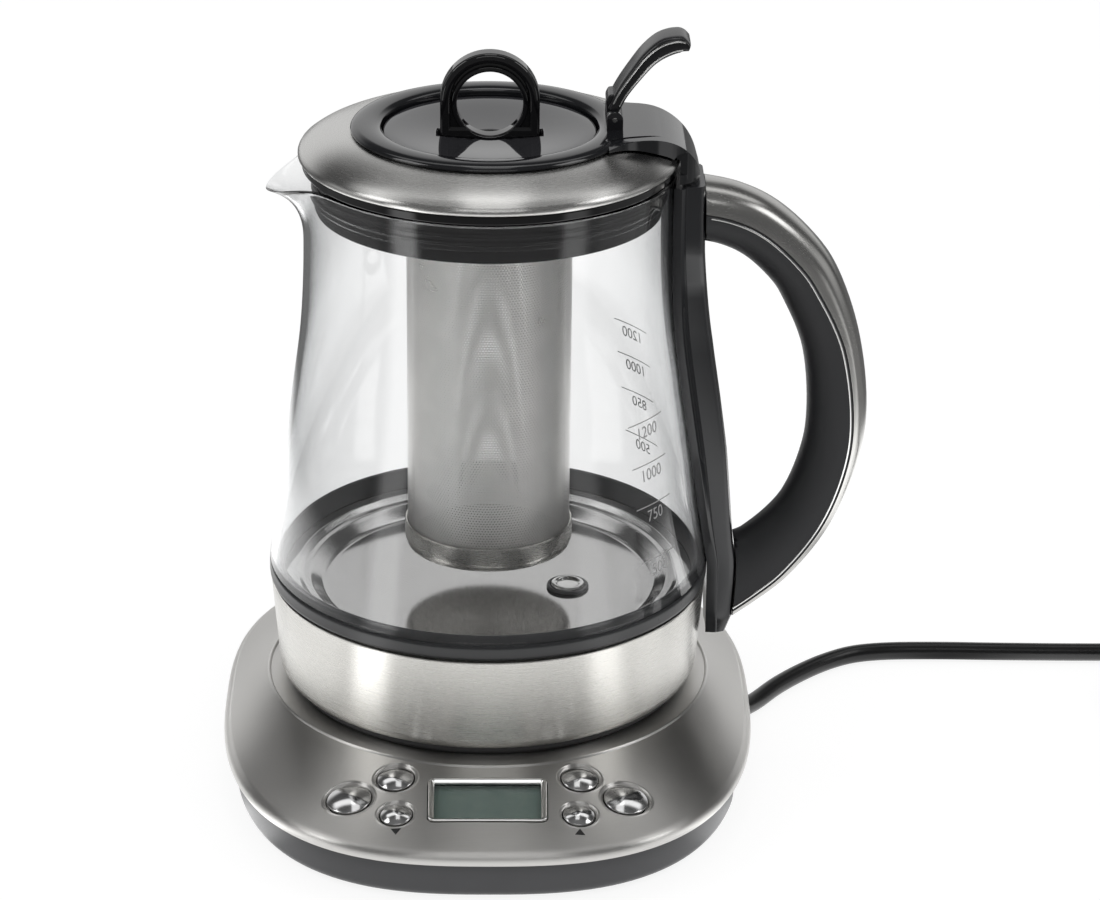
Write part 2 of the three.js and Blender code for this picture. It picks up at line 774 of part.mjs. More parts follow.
// Cord: guard, free stretch, wound coil, tail and plug

function reliefBody() {
  const { length, rootR, tipR, flangeR, flangeT, ribs, ribDepth } = relief;
  const bore = cord.radius + gap;
  const profile = [
    [bore, length - tipR],
    [bore, length],
    [tipR, length],
  ];
  for (let i = ribs; i > 0; i--) {
    const z = (length * (i + 1)) / (ribs + 3);
    const r = rootR + ((tipR - rootR) * z) / length;
    const half = length / (ribs + 3) / 4;
    profile.push([r, z + half], [r - ribDepth, z + half / 2], [r - ribDepth, z - half / 2], [r, z - half]);
  }
  profile.push([rootR, 0], [flangeR, 0], [flangeR, -flangeT], [0, -flangeT], [0, length - tipR]);
  const turn = new THREE.Quaternion().setFromUnitVectors(up, exitDirection);
  const place = new THREE.Matrix4().compose(reliefRoot, turn, new THREE.Vector3(1, 1, 1));
  return turned(profile, coarse).transform(place.elements);
}
add("strain_relief", reliefBody(), rubber);

const lying = cord.radius + cord.lift; // height of a cord's middle on the table
const coilCentre = new THREE.Vector3(coil.centreX, coil.centreY, lying);

// The cord's route from the guard to the coil, point by point.
const leadStart = exitPoint.clone().addScaledVector(exitDirection, -relief.tipR + gap);
const leadPoints = [
  leadStart,
  exitPoint.clone().addScaledVector(exitDirection, cord.straight),
  new THREE.Vector3(91.5, 9.2, 5.6),
  new THREE.Vector3(99.2, 20.4, lying),
  new THREE.Vector3(108.2, 33, lying),
  new THREE.Vector3(118.4, 44.4, lying),
  new THREE.Vector3(128.6, 53.4, lying),
  new THREE.Vector3(139, 59.6, lying),
  new THREE.Vector3(151, 62.4, lying),
  new THREE.Vector3(172, 63.2, lying),
  new THREE.Vector3(196, 62.6, lying),
  new THREE.Vector3(220, 62.2, lying),
  new THREE.Vector3(245, 62.2, lying),
  new THREE.Vector3(262, 62.2, lying),
];

const circle = (radius, sides) => {
  const corner = (unused, i) => {
    const angle = (2 * Math.PI * (i + 0.5)) / sides;
    return new THREE.Vector2(radius * Math.cos(angle), radius * Math.sin(angle));
  };
  return new THREE.Shape(Array.from({ length: sides }, corner));
};

function tube(points, radius, sides, steps) {
  const extrudePath = new THREE.CatmullRomCurve3(points, false, "centripetal");
  return solid(new THREE.ExtrudeGeometry(circle(radius, sides), { extrudePath, steps, bevelEnabled: false }));
}

// Wound in, up a layer in the half turn where the spiral reverses, and out again.
function coilPoints() {
  const { outerR, pitch, layer, turnsPerLayer, climb, steps } = coil;
  const turns = 2 * turnsPerLayer + climb;
  const count = Math.round(turns * steps);
  const points = [];
  for (let i = 0; i <= count; i++) {
    const turn = (i * turns) / count;
    const fromMiddle = Math.abs(turn - turns / 2);
    const inner = outerR - pitch * turnsPerLayer;
    const blend = Math.max(0, fromMiddle - climb / 2);
    const radius = inner + pitch * blend;
    const rise = THREE.MathUtils.smoothstep(turn, turnsPerLayer, turnsPerLayer + climb);
    const angle = Math.PI / 2 - turn * 2 * Math.PI;
    points.push(
      new THREE.Vector3(radius * Math.cos(angle), radius * Math.sin(angle), rise * layer).add(coilCentre),
    );
  }
  return points;
}

// A tube with a ring of points at each point of a route.
function wound(points, radius, sides) {
  const rings = points.map((point, i) => {
    const before = points[Math.max(0, i - 1)];
    const after = points[Math.min(points.length - 1, i + 1)];
    const along = after.clone().sub(before).normalize();
    const side = new THREE.Vector3().crossVectors(up, along).normalize();
    const over = new THREE.Vector3().crossVectors(along, side);
    return Array.from({ length: sides }, (unused, j) => {
      const angle = (2 * Math.PI * (j + 0.5)) / sides;
      return point
        .clone()
        .addScaledVector(side, radius * Math.cos(angle))
        .addScaledVector(over, radius * Math.sin(angle));
    });
  });
  return lofted(rings, circle(radius, sides).getPoints().slice(0, sides));
}

// Least distance between the turns' surfaces, from points more than half a turn apart.
function leastGap(points, radius) {
  const apart = coil.steps / 2;
  let least = Infinity;
  points.forEach((a, i) =>
    points.slice(i + apart).forEach((b) => {
      least = Math.min(least, a.distanceTo(b) - 2 * radius);
    }),
  );
  return least;
}

const straightEnd = 2 * cord.radius;
const windings = coilPoints();
const woundPoints = [
  windings[0].clone().add(new THREE.Vector3(-straightEnd, 0, 0)),
  ...windings,
];
const endAngle = Math.PI / 2 - (2 * coil.turnsPerLayer + coil.climb) * 2 * Math.PI;
const endDirection = new THREE.Vector3(Math.sin(endAngle), -Math.cos(endAngle), 0);
woundPoints.push(windings.at(-1).clone().addScaledVector(endDirection, straightEnd));
console.log("least gap between the cord's turns: " + leastGap(windings, cord.radius).toFixed(2) + " mm");
add("cord_coil", wound(woundPoints, cord.radius, coil.sides), rubber);

leadPoints.push(woundPoints[0].clone().add(new THREE.Vector3(-gap, 0, 0)));
add("cord_lead", tube(leadPoints, cord.radius, slim, cord.leadSteps), rubber);

const tailStart = woundPoints.at(-1).clone().addScaledVector(endDirection, gap);
const plugHeight = plug.faceR + cord.lift;
const tailEnd = tailStart.clone().addScaledVector(endDirection, plug.tailRun);
tailEnd.z = plugHeight;
const tailPoints = [
  tailStart,
  tailStart.clone().addScaledVector(endDirection, plug.tailRun / 5),
  tailStart.clone().lerp(tailEnd, 0.5),
  tailEnd.clone().addScaledVector(endDirection, -plug.tailRun / 5),
  tailEnd,
];
add("cord_tail", tube(tailPoints, cord.radius, slim, cord.tailSteps), rubber);

function plugBody() {
  const { faceR, bodyLength, tailR, tailLength, pinR, pinLength, pinSpacing, tipRound } = plug;
  const cordR = cord.radius + tipRound;
  const end = tailLength + bodyLength;
  const body = turned(
    [
      [0, 0],
      [cordR, 0],
      [cordR, tailLength / 3],
      [tailR, tailLength / 2],
      [tailR + tipRound, tailLength * 0.8],
      [faceR - tipRound, tailLength],
      [faceR, tailLength + tipRound],
      [faceR, end - tipRound],
      [faceR - tipRound, end],
      [0, end],
    ],
    bored,
  );
  const pins = [-pinSpacing / 2, pinSpacing / 2].map((x) =>
    turned(
      [
        [0, end - tipRound],
        [pinR, end - tipRound],
        [pinR, end + pinLength - tipRound],
        [pinR - tipRound, end + pinLength],
        [0, end + pinLength],
      ],
      slim,
    ).translate(x, 0, 0),
  );
  const turn = new THREE.Quaternion().setFromUnitVectors(up, endDirection);
  const at = tailEnd.clone().addScaledVector(endDirection, gap);
  const place = new THREE.Matrix4().compose(at, turn, new THREE.Vector3(1, 1, 1));
  return join(body, ...pins).transform(place.elements);
}
add("mains_plug", plugBody(), rubber);

// Jug foot: steel shell, bottom cover, plug half of the connector

const shellProfile = [
  [shellFootR - shell.edge, shellBottom],
  [shellFootR - shell.edge / 4, shellBottom + shell.edge / 3],
  [shellFootR, shellBottom + shell.edge],
  [shellTopR, shellTop - shell.wall],
  [shellTopR - shell.wall, shellTop],
  [shellTopR - shell.flange, shellTop],
  [shellTopR - shell.flange, shellTop - shell.wall],
  [shellTopR - 2 * shell.wall, shellTop - shell.wall],
  [shellFootR - shell.wall, shellBottom + shell.edge],
  [shellFootR - shell.edge, shellBottom + shell.wall],
];

const coverOuter = shellFootR - shell.edge - foundation.sideGap;
const floorUnder = jugFoot + foundation.wall;
const floorUpper = floorUnder + foundation.wall;
const bellInner = sleeveOuter + 2 * gap;
const bellOuter = bellInner + plugHalf.wall;
const bottomCoverProfile = [
  [bellOuter + 2 * gap, floorUnder],
  [standInnerR, floorUnder],
  [standInnerR, jugFoot],
  [standOuterR, jugFoot],
  [coverOuter, jugFoot + foundation.wall],
  [coverOuter, jugFoot + foundation.rise + foundation.upstand],
  [coverOuter - foundation.wall, jugFoot + foundation.rise + foundation.upstand],
  [coverOuter - foundation.wall, floorUpper],
  [bellOuter + 2 * gap, floorUpper],
];

const screwAngles = [Math.PI / 2, (7 * Math.PI) / 6, (11 * Math.PI) / 6];
const studSpots = screwAngles.map((angle) => [
  studAtR * Math.cos(angle),
  studAtR * Math.sin(angle),
]);
const bottomCoverSolid = cut(
  turned(bottomCoverProfile),
  ...studSpots.map(([x, y]) =>
    rod(new THREE.Vector3(x, y, jugFoot - overrun), up, jugScrew.shankR + gap, overrun * 4),
  ),
);
add("bottom_cover", bottomCoverSolid, innerPlastic);

const ceiling = base.height + plugHalf.ceiling;
const bellTop = base.height + plugHalf.top;
const trenchMiddle = (connector.trenchInner + connector.trenchOuter) / 2;
const bladeInner = trenchMiddle - plugHalf.bladeWall / 2;
const bladeOuter = trenchMiddle + plugHalf.bladeWall / 2;
const bladeFoot = base.height + gap * 2;
const bellProfile = [
  [0, bladeFoot],
  [plugHalf.pinR, bladeFoot],
  [plugHalf.pinR, ceiling],
  [bladeInner, ceiling],
  [bladeInner, bladeFoot],
  [bladeOuter, bladeFoot],
  [bladeOuter, ceiling],
  [bellInner, ceiling],
  [bellInner, floorUnder],
  [bellOuter, floorUnder],
  [bellOuter, floorUpper + gap],
  [bellOuter + plugHalf.flange, floorUpper + gap],
  [bellOuter + plugHalf.flange, floorUpper + gap + foundation.wall],
  [bellOuter, floorUpper + gap + foundation.wall],
  [bellOuter, ceiling + foundation.wall],
  [bladeOuter, bellTop],
  [0, bellTop],
];
add("jug_connector", turned(bellProfile, medium), glossyBlack);

studSpots.forEach(([x, y], i) => {
  const from = new THREE.Vector3(x, y, floorUnder - gap - jugScrew.headH);
  add("bottom_screw_" + (i + 1), screw(from, up, jugScrew), polishedSteel);
});

// Heater: stepped steel dish, heat plate with studs, ring element, temperature sensor

const dishTop = flangeZ + dish.wall;
const ledge = dishTop - dish.ledgeDrop;
const dishProfile = [
  [0, plateZ - dish.wall],
  [stepR + dish.wall, plateZ - dish.wall],
  [ledgeR + dish.wall, ledge - dish.wall],
  [ledgeInnerR + dish.wall, ledge - dish.wall],
  [ledgeInnerR + 2 * dish.wall + dish.rise, flangeZ],
  [dishR, flangeZ],
  [dishR, dishTop],
  [ledgeInnerR + dish.wall + dish.rise, dishTop],
  [ledgeInnerR, ledge],
  [ledgeR, ledge],
  [stepR + dish.wall / 2, plateZ + dish.wall / 2],
  [stepR, plateZ],
  [0, plateZ],
];
const sensorAxis = (z) => new THREE.Vector3(sensor.x, sensor.y, z);
const sensorBore = rod(sensorAxis(plateZ - 8 * overrun), up, sensor.stemR + gap, 16 * overrun, coarse);
add("heater_dish", cut(turned(dishProfile), sensorBore), polishedSteel);

const heatTop = plateZ - dish.wall - gap;
const heatUnder = heatTop - heatPlate.thickness;
function heatPlateBody() {
  const plate = turned([
    [0, heatUnder],
    [heatPlateR, heatUnder],
    [heatPlateR, heatTop],
    [0, heatTop],
  ]);
  const foot = floorUpper + gap;
  const studs = studSpots.map(([x, y]) =>
    rod(new THREE.Vector3(x, y, foot), up, heatPlate.studR, heatTop - heatPlate.thickness / 2 - foot),
  );
  const bores = studSpots.map(([x, y]) => screwBore(new THREE.Vector3(x, y, floorUnder), up, jugScrew));
  return cut(join(plate, ...studs), sensorBore, ...bores);
}
add("heat_plate", heatPlateBody(), aluminium);

function elementPath() {
  const { inset, sweep, tubeR, steps } = element;
  const ringR = studAtR - inset;
  const z = heatUnder - gap - tubeR;
  const points = [];
  for (let i = 0; i <= steps; i++) {
    const angle = Math.PI / 2 + (2 * Math.PI - sweep) / 2 + (i * sweep) / steps;
    points.push(new THREE.Vector3(ringR * Math.cos(angle), ringR * Math.sin(angle), z));
  }
  return points;
}
add("heating_element", wound(elementPath(), element.tubeR, slim), aluminium);

const sensorProfile = [
  [0, plateZ - sensor.depth],
  [sensor.stemR, plateZ - sensor.depth],
  [sensor.stemR, plateZ + gap],
  [sensor.radius, plateZ + gap],
  [sensor.radius, plateZ + gap + sensor.proud * 0.6],
  [sensor.radius - sensor.proud / 2, plateZ + gap + sensor.proud],
  [0, plateZ + gap + sensor.proud],
];
add("temperature_sensor", turned(sensorProfile, medium).translate(sensor.x, sensor.y, 0), polishedSteel);
const sealInner = sensor.radius + gap;
const sensorSealProfile = [
  [sealInner, plateZ + gap],
  [sealInner + sensor.sealWall, plateZ + gap],
  [sealInner + sensor.sealWall, plateZ + gap + sensor.sealH],
  [sealInner, plateZ + gap + sensor.sealH],
];
add("sensor_seal", turned(sensorSealProfile, medium).translate(sensor.x, sensor.y, 0), silicone);

// Glass: a turned profile whose rim is drawn out and down into a pouring lip at -X

const glassShares = [
  [0, 0], // height share, share of the way from the foot radius to the neck radius
  [0.1, 0.16],
  [0.28, 0.4],
  [0.46, 0.68],
  [0.6, 0.88],
  [0.74, 0.975],
  [0.9, 1],
];
const glassRadius = (z) => {
  const share = THREE.MathUtils.clamp((z - glassFoot) / glass.height, 0, 1);
  const at = Math.max(1, glassShares.findIndex(([height]) => height >= share));
  if (share >= glassShares.at(-1)[0]) return glass.neckR;
  const [h0, r0] = glassShares[at - 1];
  const [h1, r1] = glassShares[at];
  const mix = r0 + ((r1 - r0) * (share - h0)) / (h1 - h0);
  return glass.footR + mix * (glass.neckR - glass.footR);
};

function glassBody() {
  const lipFrom = glassRim - glass.lipTall;
  const drawn = (r, z) => (angle) => {
    const turn = Math.atan2(Math.sin(angle - Math.PI), Math.cos(angle - Math.PI));
    const near = Math.exp(-((turn / glass.lipHalfAngle) ** 2));
    const high = THREE.MathUtils.clamp((z - lipFrom) / glass.lipTall, 0, 1);
    return {
      r: r + glass.lipReach * near * high ** glass.lipOutPower,
      z: z - glass.lipDroop * near * high ** glass.lipDownPower,
    };
  };
  const wallRows = glassShares.map(([share]) => glassFoot + share * glass.height);
  const rimFoot = glassRim - glass.rimRound;
  const outer = [...wallRows, glassRim - glass.lipTall / 5, rimFoot].map((z) => drawn(glassRadius(z), z));
  const crest = drawn(glass.neckR - glass.wall / 2, glassRim);
  const inner = [...wallRows, glassRim - glass.lipTall / 5, rimFoot]
    .map((z) => drawn(glassRadius(z) - glass.wall, z))
    .toReversed();
  return aroundPlan([...outer, crest, ...inner], glass.sides);
}
add("glass_jug", glassBody(), clearGlass);

const gasketFoot = dishTop + gap;
const lipTop = glassFoot + gasket.lipH;
const lipR = (z) => (glassRadius(z) - glass.wall) * gasket.lipShare;
const lipOuter = lipR(glassFoot);
const lipTopR = lipR(lipTop) - gasket.lipLean;
const gasketProfile = [
  [gasketInnerR, gasketFoot],
  [dishR + gap, gasketFoot],
  [dishR + gap, gasketFoot - gasket.skirt],
  [gasketR - gap, gasketFoot - gasket.skirt],
  [gasketR, gasketFoot],
  [gasketR, gasketTop - gap],
  [gasketR - gap, gasketTop],
  [lipOuter, gasketTop],
  [lipTopR, lipTop],
  [lipOuter - gasket.lipWall, lipTop],
];
add("glass_gasket", turned(gasketProfile), silicone);

// Handle: a strap that hugs the glass, and a D-shaped grip with a steel outer shell

const strapTall = strapTop - strapBottom;
const strapShares = [
  // height share, depth share of the spine, width share of the flange, share of the head's width
  [0, 0.42, 0, 0],
  [0.04, 0.66, 0.3, 0],
  [0.12, 0.76, 0.32, 0],
  [0.21, 0.78, 0.4, 0],
  [0.3, 0.88, 0.7, 0],
  [0.42, 0.98, 1, 0],
  [0.54, 1, 1, 0],
  [0.66, 0.97, 1, 0],
  [0.78, 0.84, 1, 0.15],
  [0.86, 0.74, 1, 0.9],
  [1, 0.7, 1, 1],
];
// The strap, grown by a clearance where it is used to trim what meets it.
const strapWall = (z) => Math.max(glassRadius(z), z < gasketTop + gap ? gasketR : 0) - gap;
function strapBody(grow) {
  const section = (inner, half, depth, head) => {
    const spineHalf = THREE.MathUtils.lerp(strap.spineHalf, strap.headHalf, head);
    const spine = Math.min(spineHalf, half) + grow;
    const across = [-1, -0.5, 0, 0.5, 1].map((share) => {
      const angle = (share * (half + grow)) / inner;
      return [(inner - grow) * Math.cos(angle), (inner - grow) * Math.sin(angle)];
    });
    const outer = inner + strap.flangeT + 2 * gap + grow;
    const edge = (half + grow) / inner;
    const root = Math.asin(spine / outer);
    return [
      ...across,
      [outer * Math.cos(edge), outer * Math.sin(edge)],
      [outer * Math.cos(root), spine],
      [inner + depth + grow - strap.flangeT / 3, spine],
      [inner + depth + grow, spine - strap.flangeT / 3],
      [inner + depth + grow, -spine + strap.flangeT / 3],
      [inner + depth + grow - strap.flangeT / 3, -spine],
      [outer * Math.cos(root), -spine],
      [outer * Math.cos(edge), -outer * Math.sin(edge)],
    ];
  };
  const sections = strapShares.map(([height, deep, wide, head], i) => {
    const lift = i === 0 ? -grow : i === strapShares.length - 1 ? grow : 0;
    const z = strapBottom + height * strapTall;
    const half = strap.tipHalf + wide * (strap.flangeHalf - strap.tipHalf);
    const depth = strap.flangeT + 2 * gap + deep * (strap.spineDepth - strap.flangeT);
    return { z: z + lift, points: section(strapWall(z), half, depth, head) };
  });
  const rings = sections.map(({ z, points }) => points.map(([x, y]) => new THREE.Vector3(x, y, z)));
  const caps = sections[0].points.map(([x, y]) => new THREE.Vector2(x, y));
  return lofted(rings, caps);
}

const handleTop = glassRim - handle.topDrop;
const handleTall = handleTop - strapBottom;
const handleSpan = handleReach - handleRootX;
// Shares of the handle's span and height along its outer crest, from the upper root to the lower
// one, then the depths of the steel shell and of the grip there as shares of the handle's width
const handleShares = [
  [-0.05, 1.004, 0.472, 0.49],
  [0.267, 0.981, 0.464, 0.496],
  [0.484, 0.941, 0.44, 0.496],
  [0.708, 0.862, 0.4, 0.504],
  [0.823, 0.794, 0.344, 0.528],
  [0.947, 0.657, 0.24, 0.584],
  [1, 0.491, 0.208, 0.64],
  [0.96, 0.381, 0.168, 0.66],
  [0.828, 0.25, 0.132, 0.69],
  [0.606, 0.132, 0.12, 0.832],
  [0.432, 0.074, 0.112, 0.97],
  [0.18, 0.005, 0.108, 1.02],
];
const crest = new THREE.CatmullRomCurve3(
  handleShares.map(
    ([x, z]) => new THREE.Vector3(handleRootX + x * handleSpan, 0, strapBottom + z * handleTall),
  ),
  false,
  "centripetal",
);
// The depths at a place along the crest, eased between the rows above.
function handleDepths(t) {
  const place = t * (handleShares.length - 1);
  const row = Math.min(handleShares.length - 2, Math.floor(place));
  const [now, next] = [handleShares[row], handleShares[row + 1]];
  const depth = (column) => handle.width * THREE.MathUtils.lerp(now[column], next[column], place - row);
  return { steelDepth: depth(2), gripDepth: depth(3) };
}

// A half oval from the seam to a depth, as [share of depth, share of width] pairs.
const halfOval = Array.from({ length: handle.ovalPoints }, (unused, i) => {
  const angle = -Math.PI / 2 + (Math.PI * i) / (handle.ovalPoints - 1);
  const c = Math.cos(angle);
  const s = Math.sin(angle);
  const power = 2 / handle.squareness;
  return [Math.abs(c) ** power, Math.sign(s) * Math.abs(s) ** power];
});

function handleSolids() {
  const gripRings = [];
  const shellRings = [];
  for (let i = 0; i <= handle.stations; i++) {
    const t = i / handle.stations;
    const half = THREE.MathUtils.lerp(handle.width, handle.lowerWidth, t) / 2;
    const { steelDepth, gripDepth } = handleDepths(t);
    const along = crest.getTangent(t);
    const outward = new THREE.Vector3(-along.z, 0, along.x);
    const seam = crest.getPoint(t).addScaledVector(outward, -steelDepth);
    const at = (distance, y) =>
      seam.clone().addScaledVector(outward, distance).add(new THREE.Vector3(0, y, 0));
    const coreHalf = half - handle.shellWall - gap;
    gripRings.push([
      ...halfOval.map(([d, w]) => at(-gap - d * (gripDepth - gap), w * half)),
      ...halfOval
        .toReversed()
        .map(([d, w]) => at(d * (steelDepth - handle.shellWall) - gap, w * coreHalf)),
    ]);
    shellRings.push([
      ...halfOval.map(([d, w]) => at(d * steelDepth, w * half)),
      ...halfOval
        .toReversed()
        .map(([d, w]) => at(d * (steelDepth - handle.shellWall), w * (half - handle.shellWall))),
    ]);
  }
  const flatten = (points) => {
    const origin = points[0];
    const deepest = points[Math.floor(handle.ovalPoints / 2)];
    const across = new THREE.Vector3(0, 1, 0);
    const normal = new THREE.Vector3().crossVectors(deepest.clone().sub(origin), across).normalize();
    const deep = new THREE.Vector3().crossVectors(across, normal);
    return points.map((p) => {
      const offset = p.clone().sub(origin);
      return new THREE.Vector2(offset.dot(deep), offset.dot(across));
    });
  };
  return {
    grip: lofted(gripRings, flatten(gripRings[0])),
    steel: lofted(shellRings, flatten(shellRings[0])),
  };
}

// The jug's outside with a clearance, to trim what hugs it.
function jugSpace() {
  const rows = glassShares.map(([share]) => glassFoot + share * glass.height);
  return turned(
    [
      [0, shellBottom - overrun],
      [gasketR + gap, shellBottom - overrun],
      [gasketR + gap, gasketTop + gap],
      ...rows.slice(1).map((z) => [glassRadius(z) + gap, z]),
      [glass.neckR + gap, glassRim + overrun],
      [0, glassRim + overrun],
    ],
    glass.sides,
  );
}
// What lies behind the strap's outer face, so that the handle's ends stop against it.
function strapShadow() {
  const rows = strapShares.map(([height, deep]) => {
    const z = strapBottom + height * strapTall;
    const depth = strap.flangeT + 2 * gap + deep * (strap.spineDepth - strap.flangeT);
    return { z, x: strapWall(z) + depth + gap };
  });
  rows.unshift({ z: shellBottom - overrun, x: rows[0].x });
  rows.push({ z: glassRim + overrun * 4, x: rows.at(-1).x });
  const rectangle = (x) => [
    [-x, -handle.width],
    [x, -handle.width],
    [x, handle.width],
    [-x, handle.width],
  ];
  const rings = rows.map(({ z, x }) => rectangle(x).map(([px, py]) => new THREE.Vector3(px, py, z)));
  return lofted(rings, rectangle(rows[0].x).map(([px, py]) => new THREE.Vector2(px, py)));
}
const jugCutter = jugSpace();
const shadow = strapShadow();
const { grip, steel } = handleSolids();
const upperScrewZ = handleTop - handleScrew.topDrop;
const lowerScrewZ = strapBottom + handleScrew.lowerRise;
const screwStart = (z) => new THREE.Vector3(strapWall(z) + 3 * gap, 0, z);
const outwards = new THREE.Vector3(1, 0, 0);
const handleScrews = [upperScrewZ, lowerScrewZ].map((z) => ({
  body: screw(screwStart(z), outwards, handleScrew),
  head: rod(
    screwStart(z).add(new THREE.Vector3(-overrun, 0, 0)),
    outwards,
    handleScrew.headR + gap,
    overrun + handleScrew.headH + gap,
    bored,
  ),
  bore: screwBore(screwStart(z), outwards, handleScrew),
}));
const bores = handleScrews.map(({ bore }) => bore);
const heads = handleScrews.map(({ head }) => head);
add("handle_strap", cut(strapBody(0), jugCutter, ...heads, ...bores), slatePlastic);
add("handle_grip", cut(grip, shadow, ...bores), mattBlack);
add("handle_shell", cut(steel, shadow), brushedSteel);
handleScrews.forEach(({ body }, i) => add("handle_screw_" + (i + 1), body, polishedSteel));
add("steel_shell", turned(shellProfile), brushedSteel);

// Lid: inner body with its neck and well, steel dome, black ring with the tongue, seal

const wellTop = lidTop + lid.wellRise;
const neckFoot = lidSeat - lid.neckDepth;
const lidInnerProfile = [
  [lidBoreR, neckFoot],
  [lidNeckR, neckFoot],
  [lidNeckR, lidSeat],
  [lidFlangeR, lidSeat],
  [lidFlangeR, lidTop],
  [lidNeckR - lid.wall, lidTop],
  [lidNeckR - lid.wall, neckFoot + lid.wall],
  [lidBoreR + lid.wall, neckFoot + lid.wall],
  [lidBoreR + lid.wall, ledgeZ - lid.wall],
  [wellR + lid.wall, ledgeZ - lid.wall],
  [wellR + lid.wall, wellTop],
  [wellR, wellTop],
  [wellR, ledgeZ],
  [lidBoreR, ledgeZ],
];
add("lid_inner", turned(lidInnerProfile), innerPlastic);

const sealTop = lidSeat - gap;
const sealStem = lidNeckR + gap;
const sealProfile = [
  [sealStem, sealTop - seal.height],
  [sealStem + seal.bodyT, sealTop - seal.height],
  [sealStem + seal.bodyT, sealTop - 2 * seal.lip],
  [lidSealR, sealTop - seal.lip],
  [lidSealR, sealTop],
  [sealStem, sealTop],
];
add("lid_seal", turned(sealProfile), silicone);

const domeShares = [
  [0, 0.235], // radius share from the rim to the inner edge, height share of the rise
  [0.14, 0.5],
  [0.36, 0.75],
  [0.66, 0.95],
  [1, 1],
];
const domePoint = ([across, high], lift = 0) => [
  domeRimR - across * (domeRimR - domeInnerR),
  domeFoot + high * dome.rise + lift,
];
const domeProfile = [
  [domeRimR - dome.wall, domeFoot],
  [domeRimR, domeFoot + dome.wall / 2],
  ...domeShares.map((share) => domePoint(share)),
  ...domeShares
    .slice(1)
    .toReversed()
    .map((share) => domePoint(share, -dome.wall)),
  [domeRimR - 1.6 * dome.wall, domeFoot + dome.rollH / 2],
];
add("lid_dome", turned(domeProfile), brushedSteel);

const ringFoot = wellTop + gap;
function ringBody() {
  const slope = ring.crestH;
  const profile = [
    [wellR, ringFoot],
    [domeInnerR - gap, ringFoot],
    [domeInnerR - gap, domeTop + gap],
    [ringOuterR, domeTop + gap],
    [ringOuterR, domeTop + slope / 3],
    [(ringOuterR + ringCrestR) / 2, ringCrest - slope / 5],
    [ringCrestR, ringCrest],
    [(wellR + ringCrestR) / 2, ringCrest - slope / 5],
    [wellR, domeTop + slope / 4],
  ];
  const hook = ringCrest - tongue.hookDrop;
  const side = new THREE.Shape();
  side.moveTo(ringCrestR, hook);
  side.lineTo(tongueReach, hook);
  side.lineTo(tongueReach, hook + tongue.hookDrop * 0.25);
  side.quadraticCurveTo(tongueReach - gap, ringCrest - gap, domeRimR - dome.rise, ringCrest - 2 * gap);
  side.lineTo(ringCrestR, ringCrest - gap);
  const width = 2 * tongue.rootHalf;
  const settings = { depth: width, bevelEnabled: false, curveSegments: tongue.steps };
  const wedge = new THREE.ExtrudeGeometry(side, settings)
    .rotateX(Math.PI / 2)
    .translate(0, width / 2, 0);
  const plan = new THREE.Shape();
  plan.moveTo(ringCrestR - gap, -tongue.rootHalf);
  plan.lineTo(domeRimR - dome.rise, -tongue.rootHalf + gap);
  plan.lineTo(tongueReach - tongue.cornerR, -tongue.tipHalf - gap);
  plan.quadraticCurveTo(tongueReach, -tongue.tipHalf, tongueReach + gap, 0);
  plan.quadraticCurveTo(tongueReach, tongue.tipHalf, tongueReach - tongue.cornerR, tongue.tipHalf + gap);
  plan.lineTo(domeRimR - dome.rise, tongue.rootHalf - gap);
  plan.lineTo(ringCrestR - gap, tongue.rootHalf);
  const outline = pushed(plan, hook - overrun, ringCrest + overrun);
  const hollow = turned([
    [0, hook - overrun],
    [domeRimR + 2 * gap, hook - overrun],
    [domeRimR + 2 * gap, domeFoot + dome.rollH],
    ...domeShares.slice(1).map((share) => domePoint(share, 2 * gap)),
    [0, domeTop + 2 * gap],
  ]);
  const body = join(turned(profile), cut(solid(wedge).intersect(outline), hollow));
  const ears = [-1, 1].map((sideSign) => {
    const y = sideSign * (lever.width / 2 + gap + leverArm.earT / 2);
    const height = pivotZ + lever.barrelR - domeTop;
    const at = new THREE.Vector3(pivotX, y, domeTop + height / 2);
    return block(leverArm.earWidth, leverArm.earT, height, at);
  });
  const across = new THREE.Vector3(0, 1, 0);
  const pinFrom = new THREE.Vector3(pivotX, -lever.width, pivotZ);
  return cut(join(body, ...ears), rod(pinFrom, across, lever.pinR + gap, 2 * lever.width, bored));
}
add("lid_ring", ringBody(), glossyBlack);

// Thumb lever on its pin, with a torsion spring in the middle of its barrel

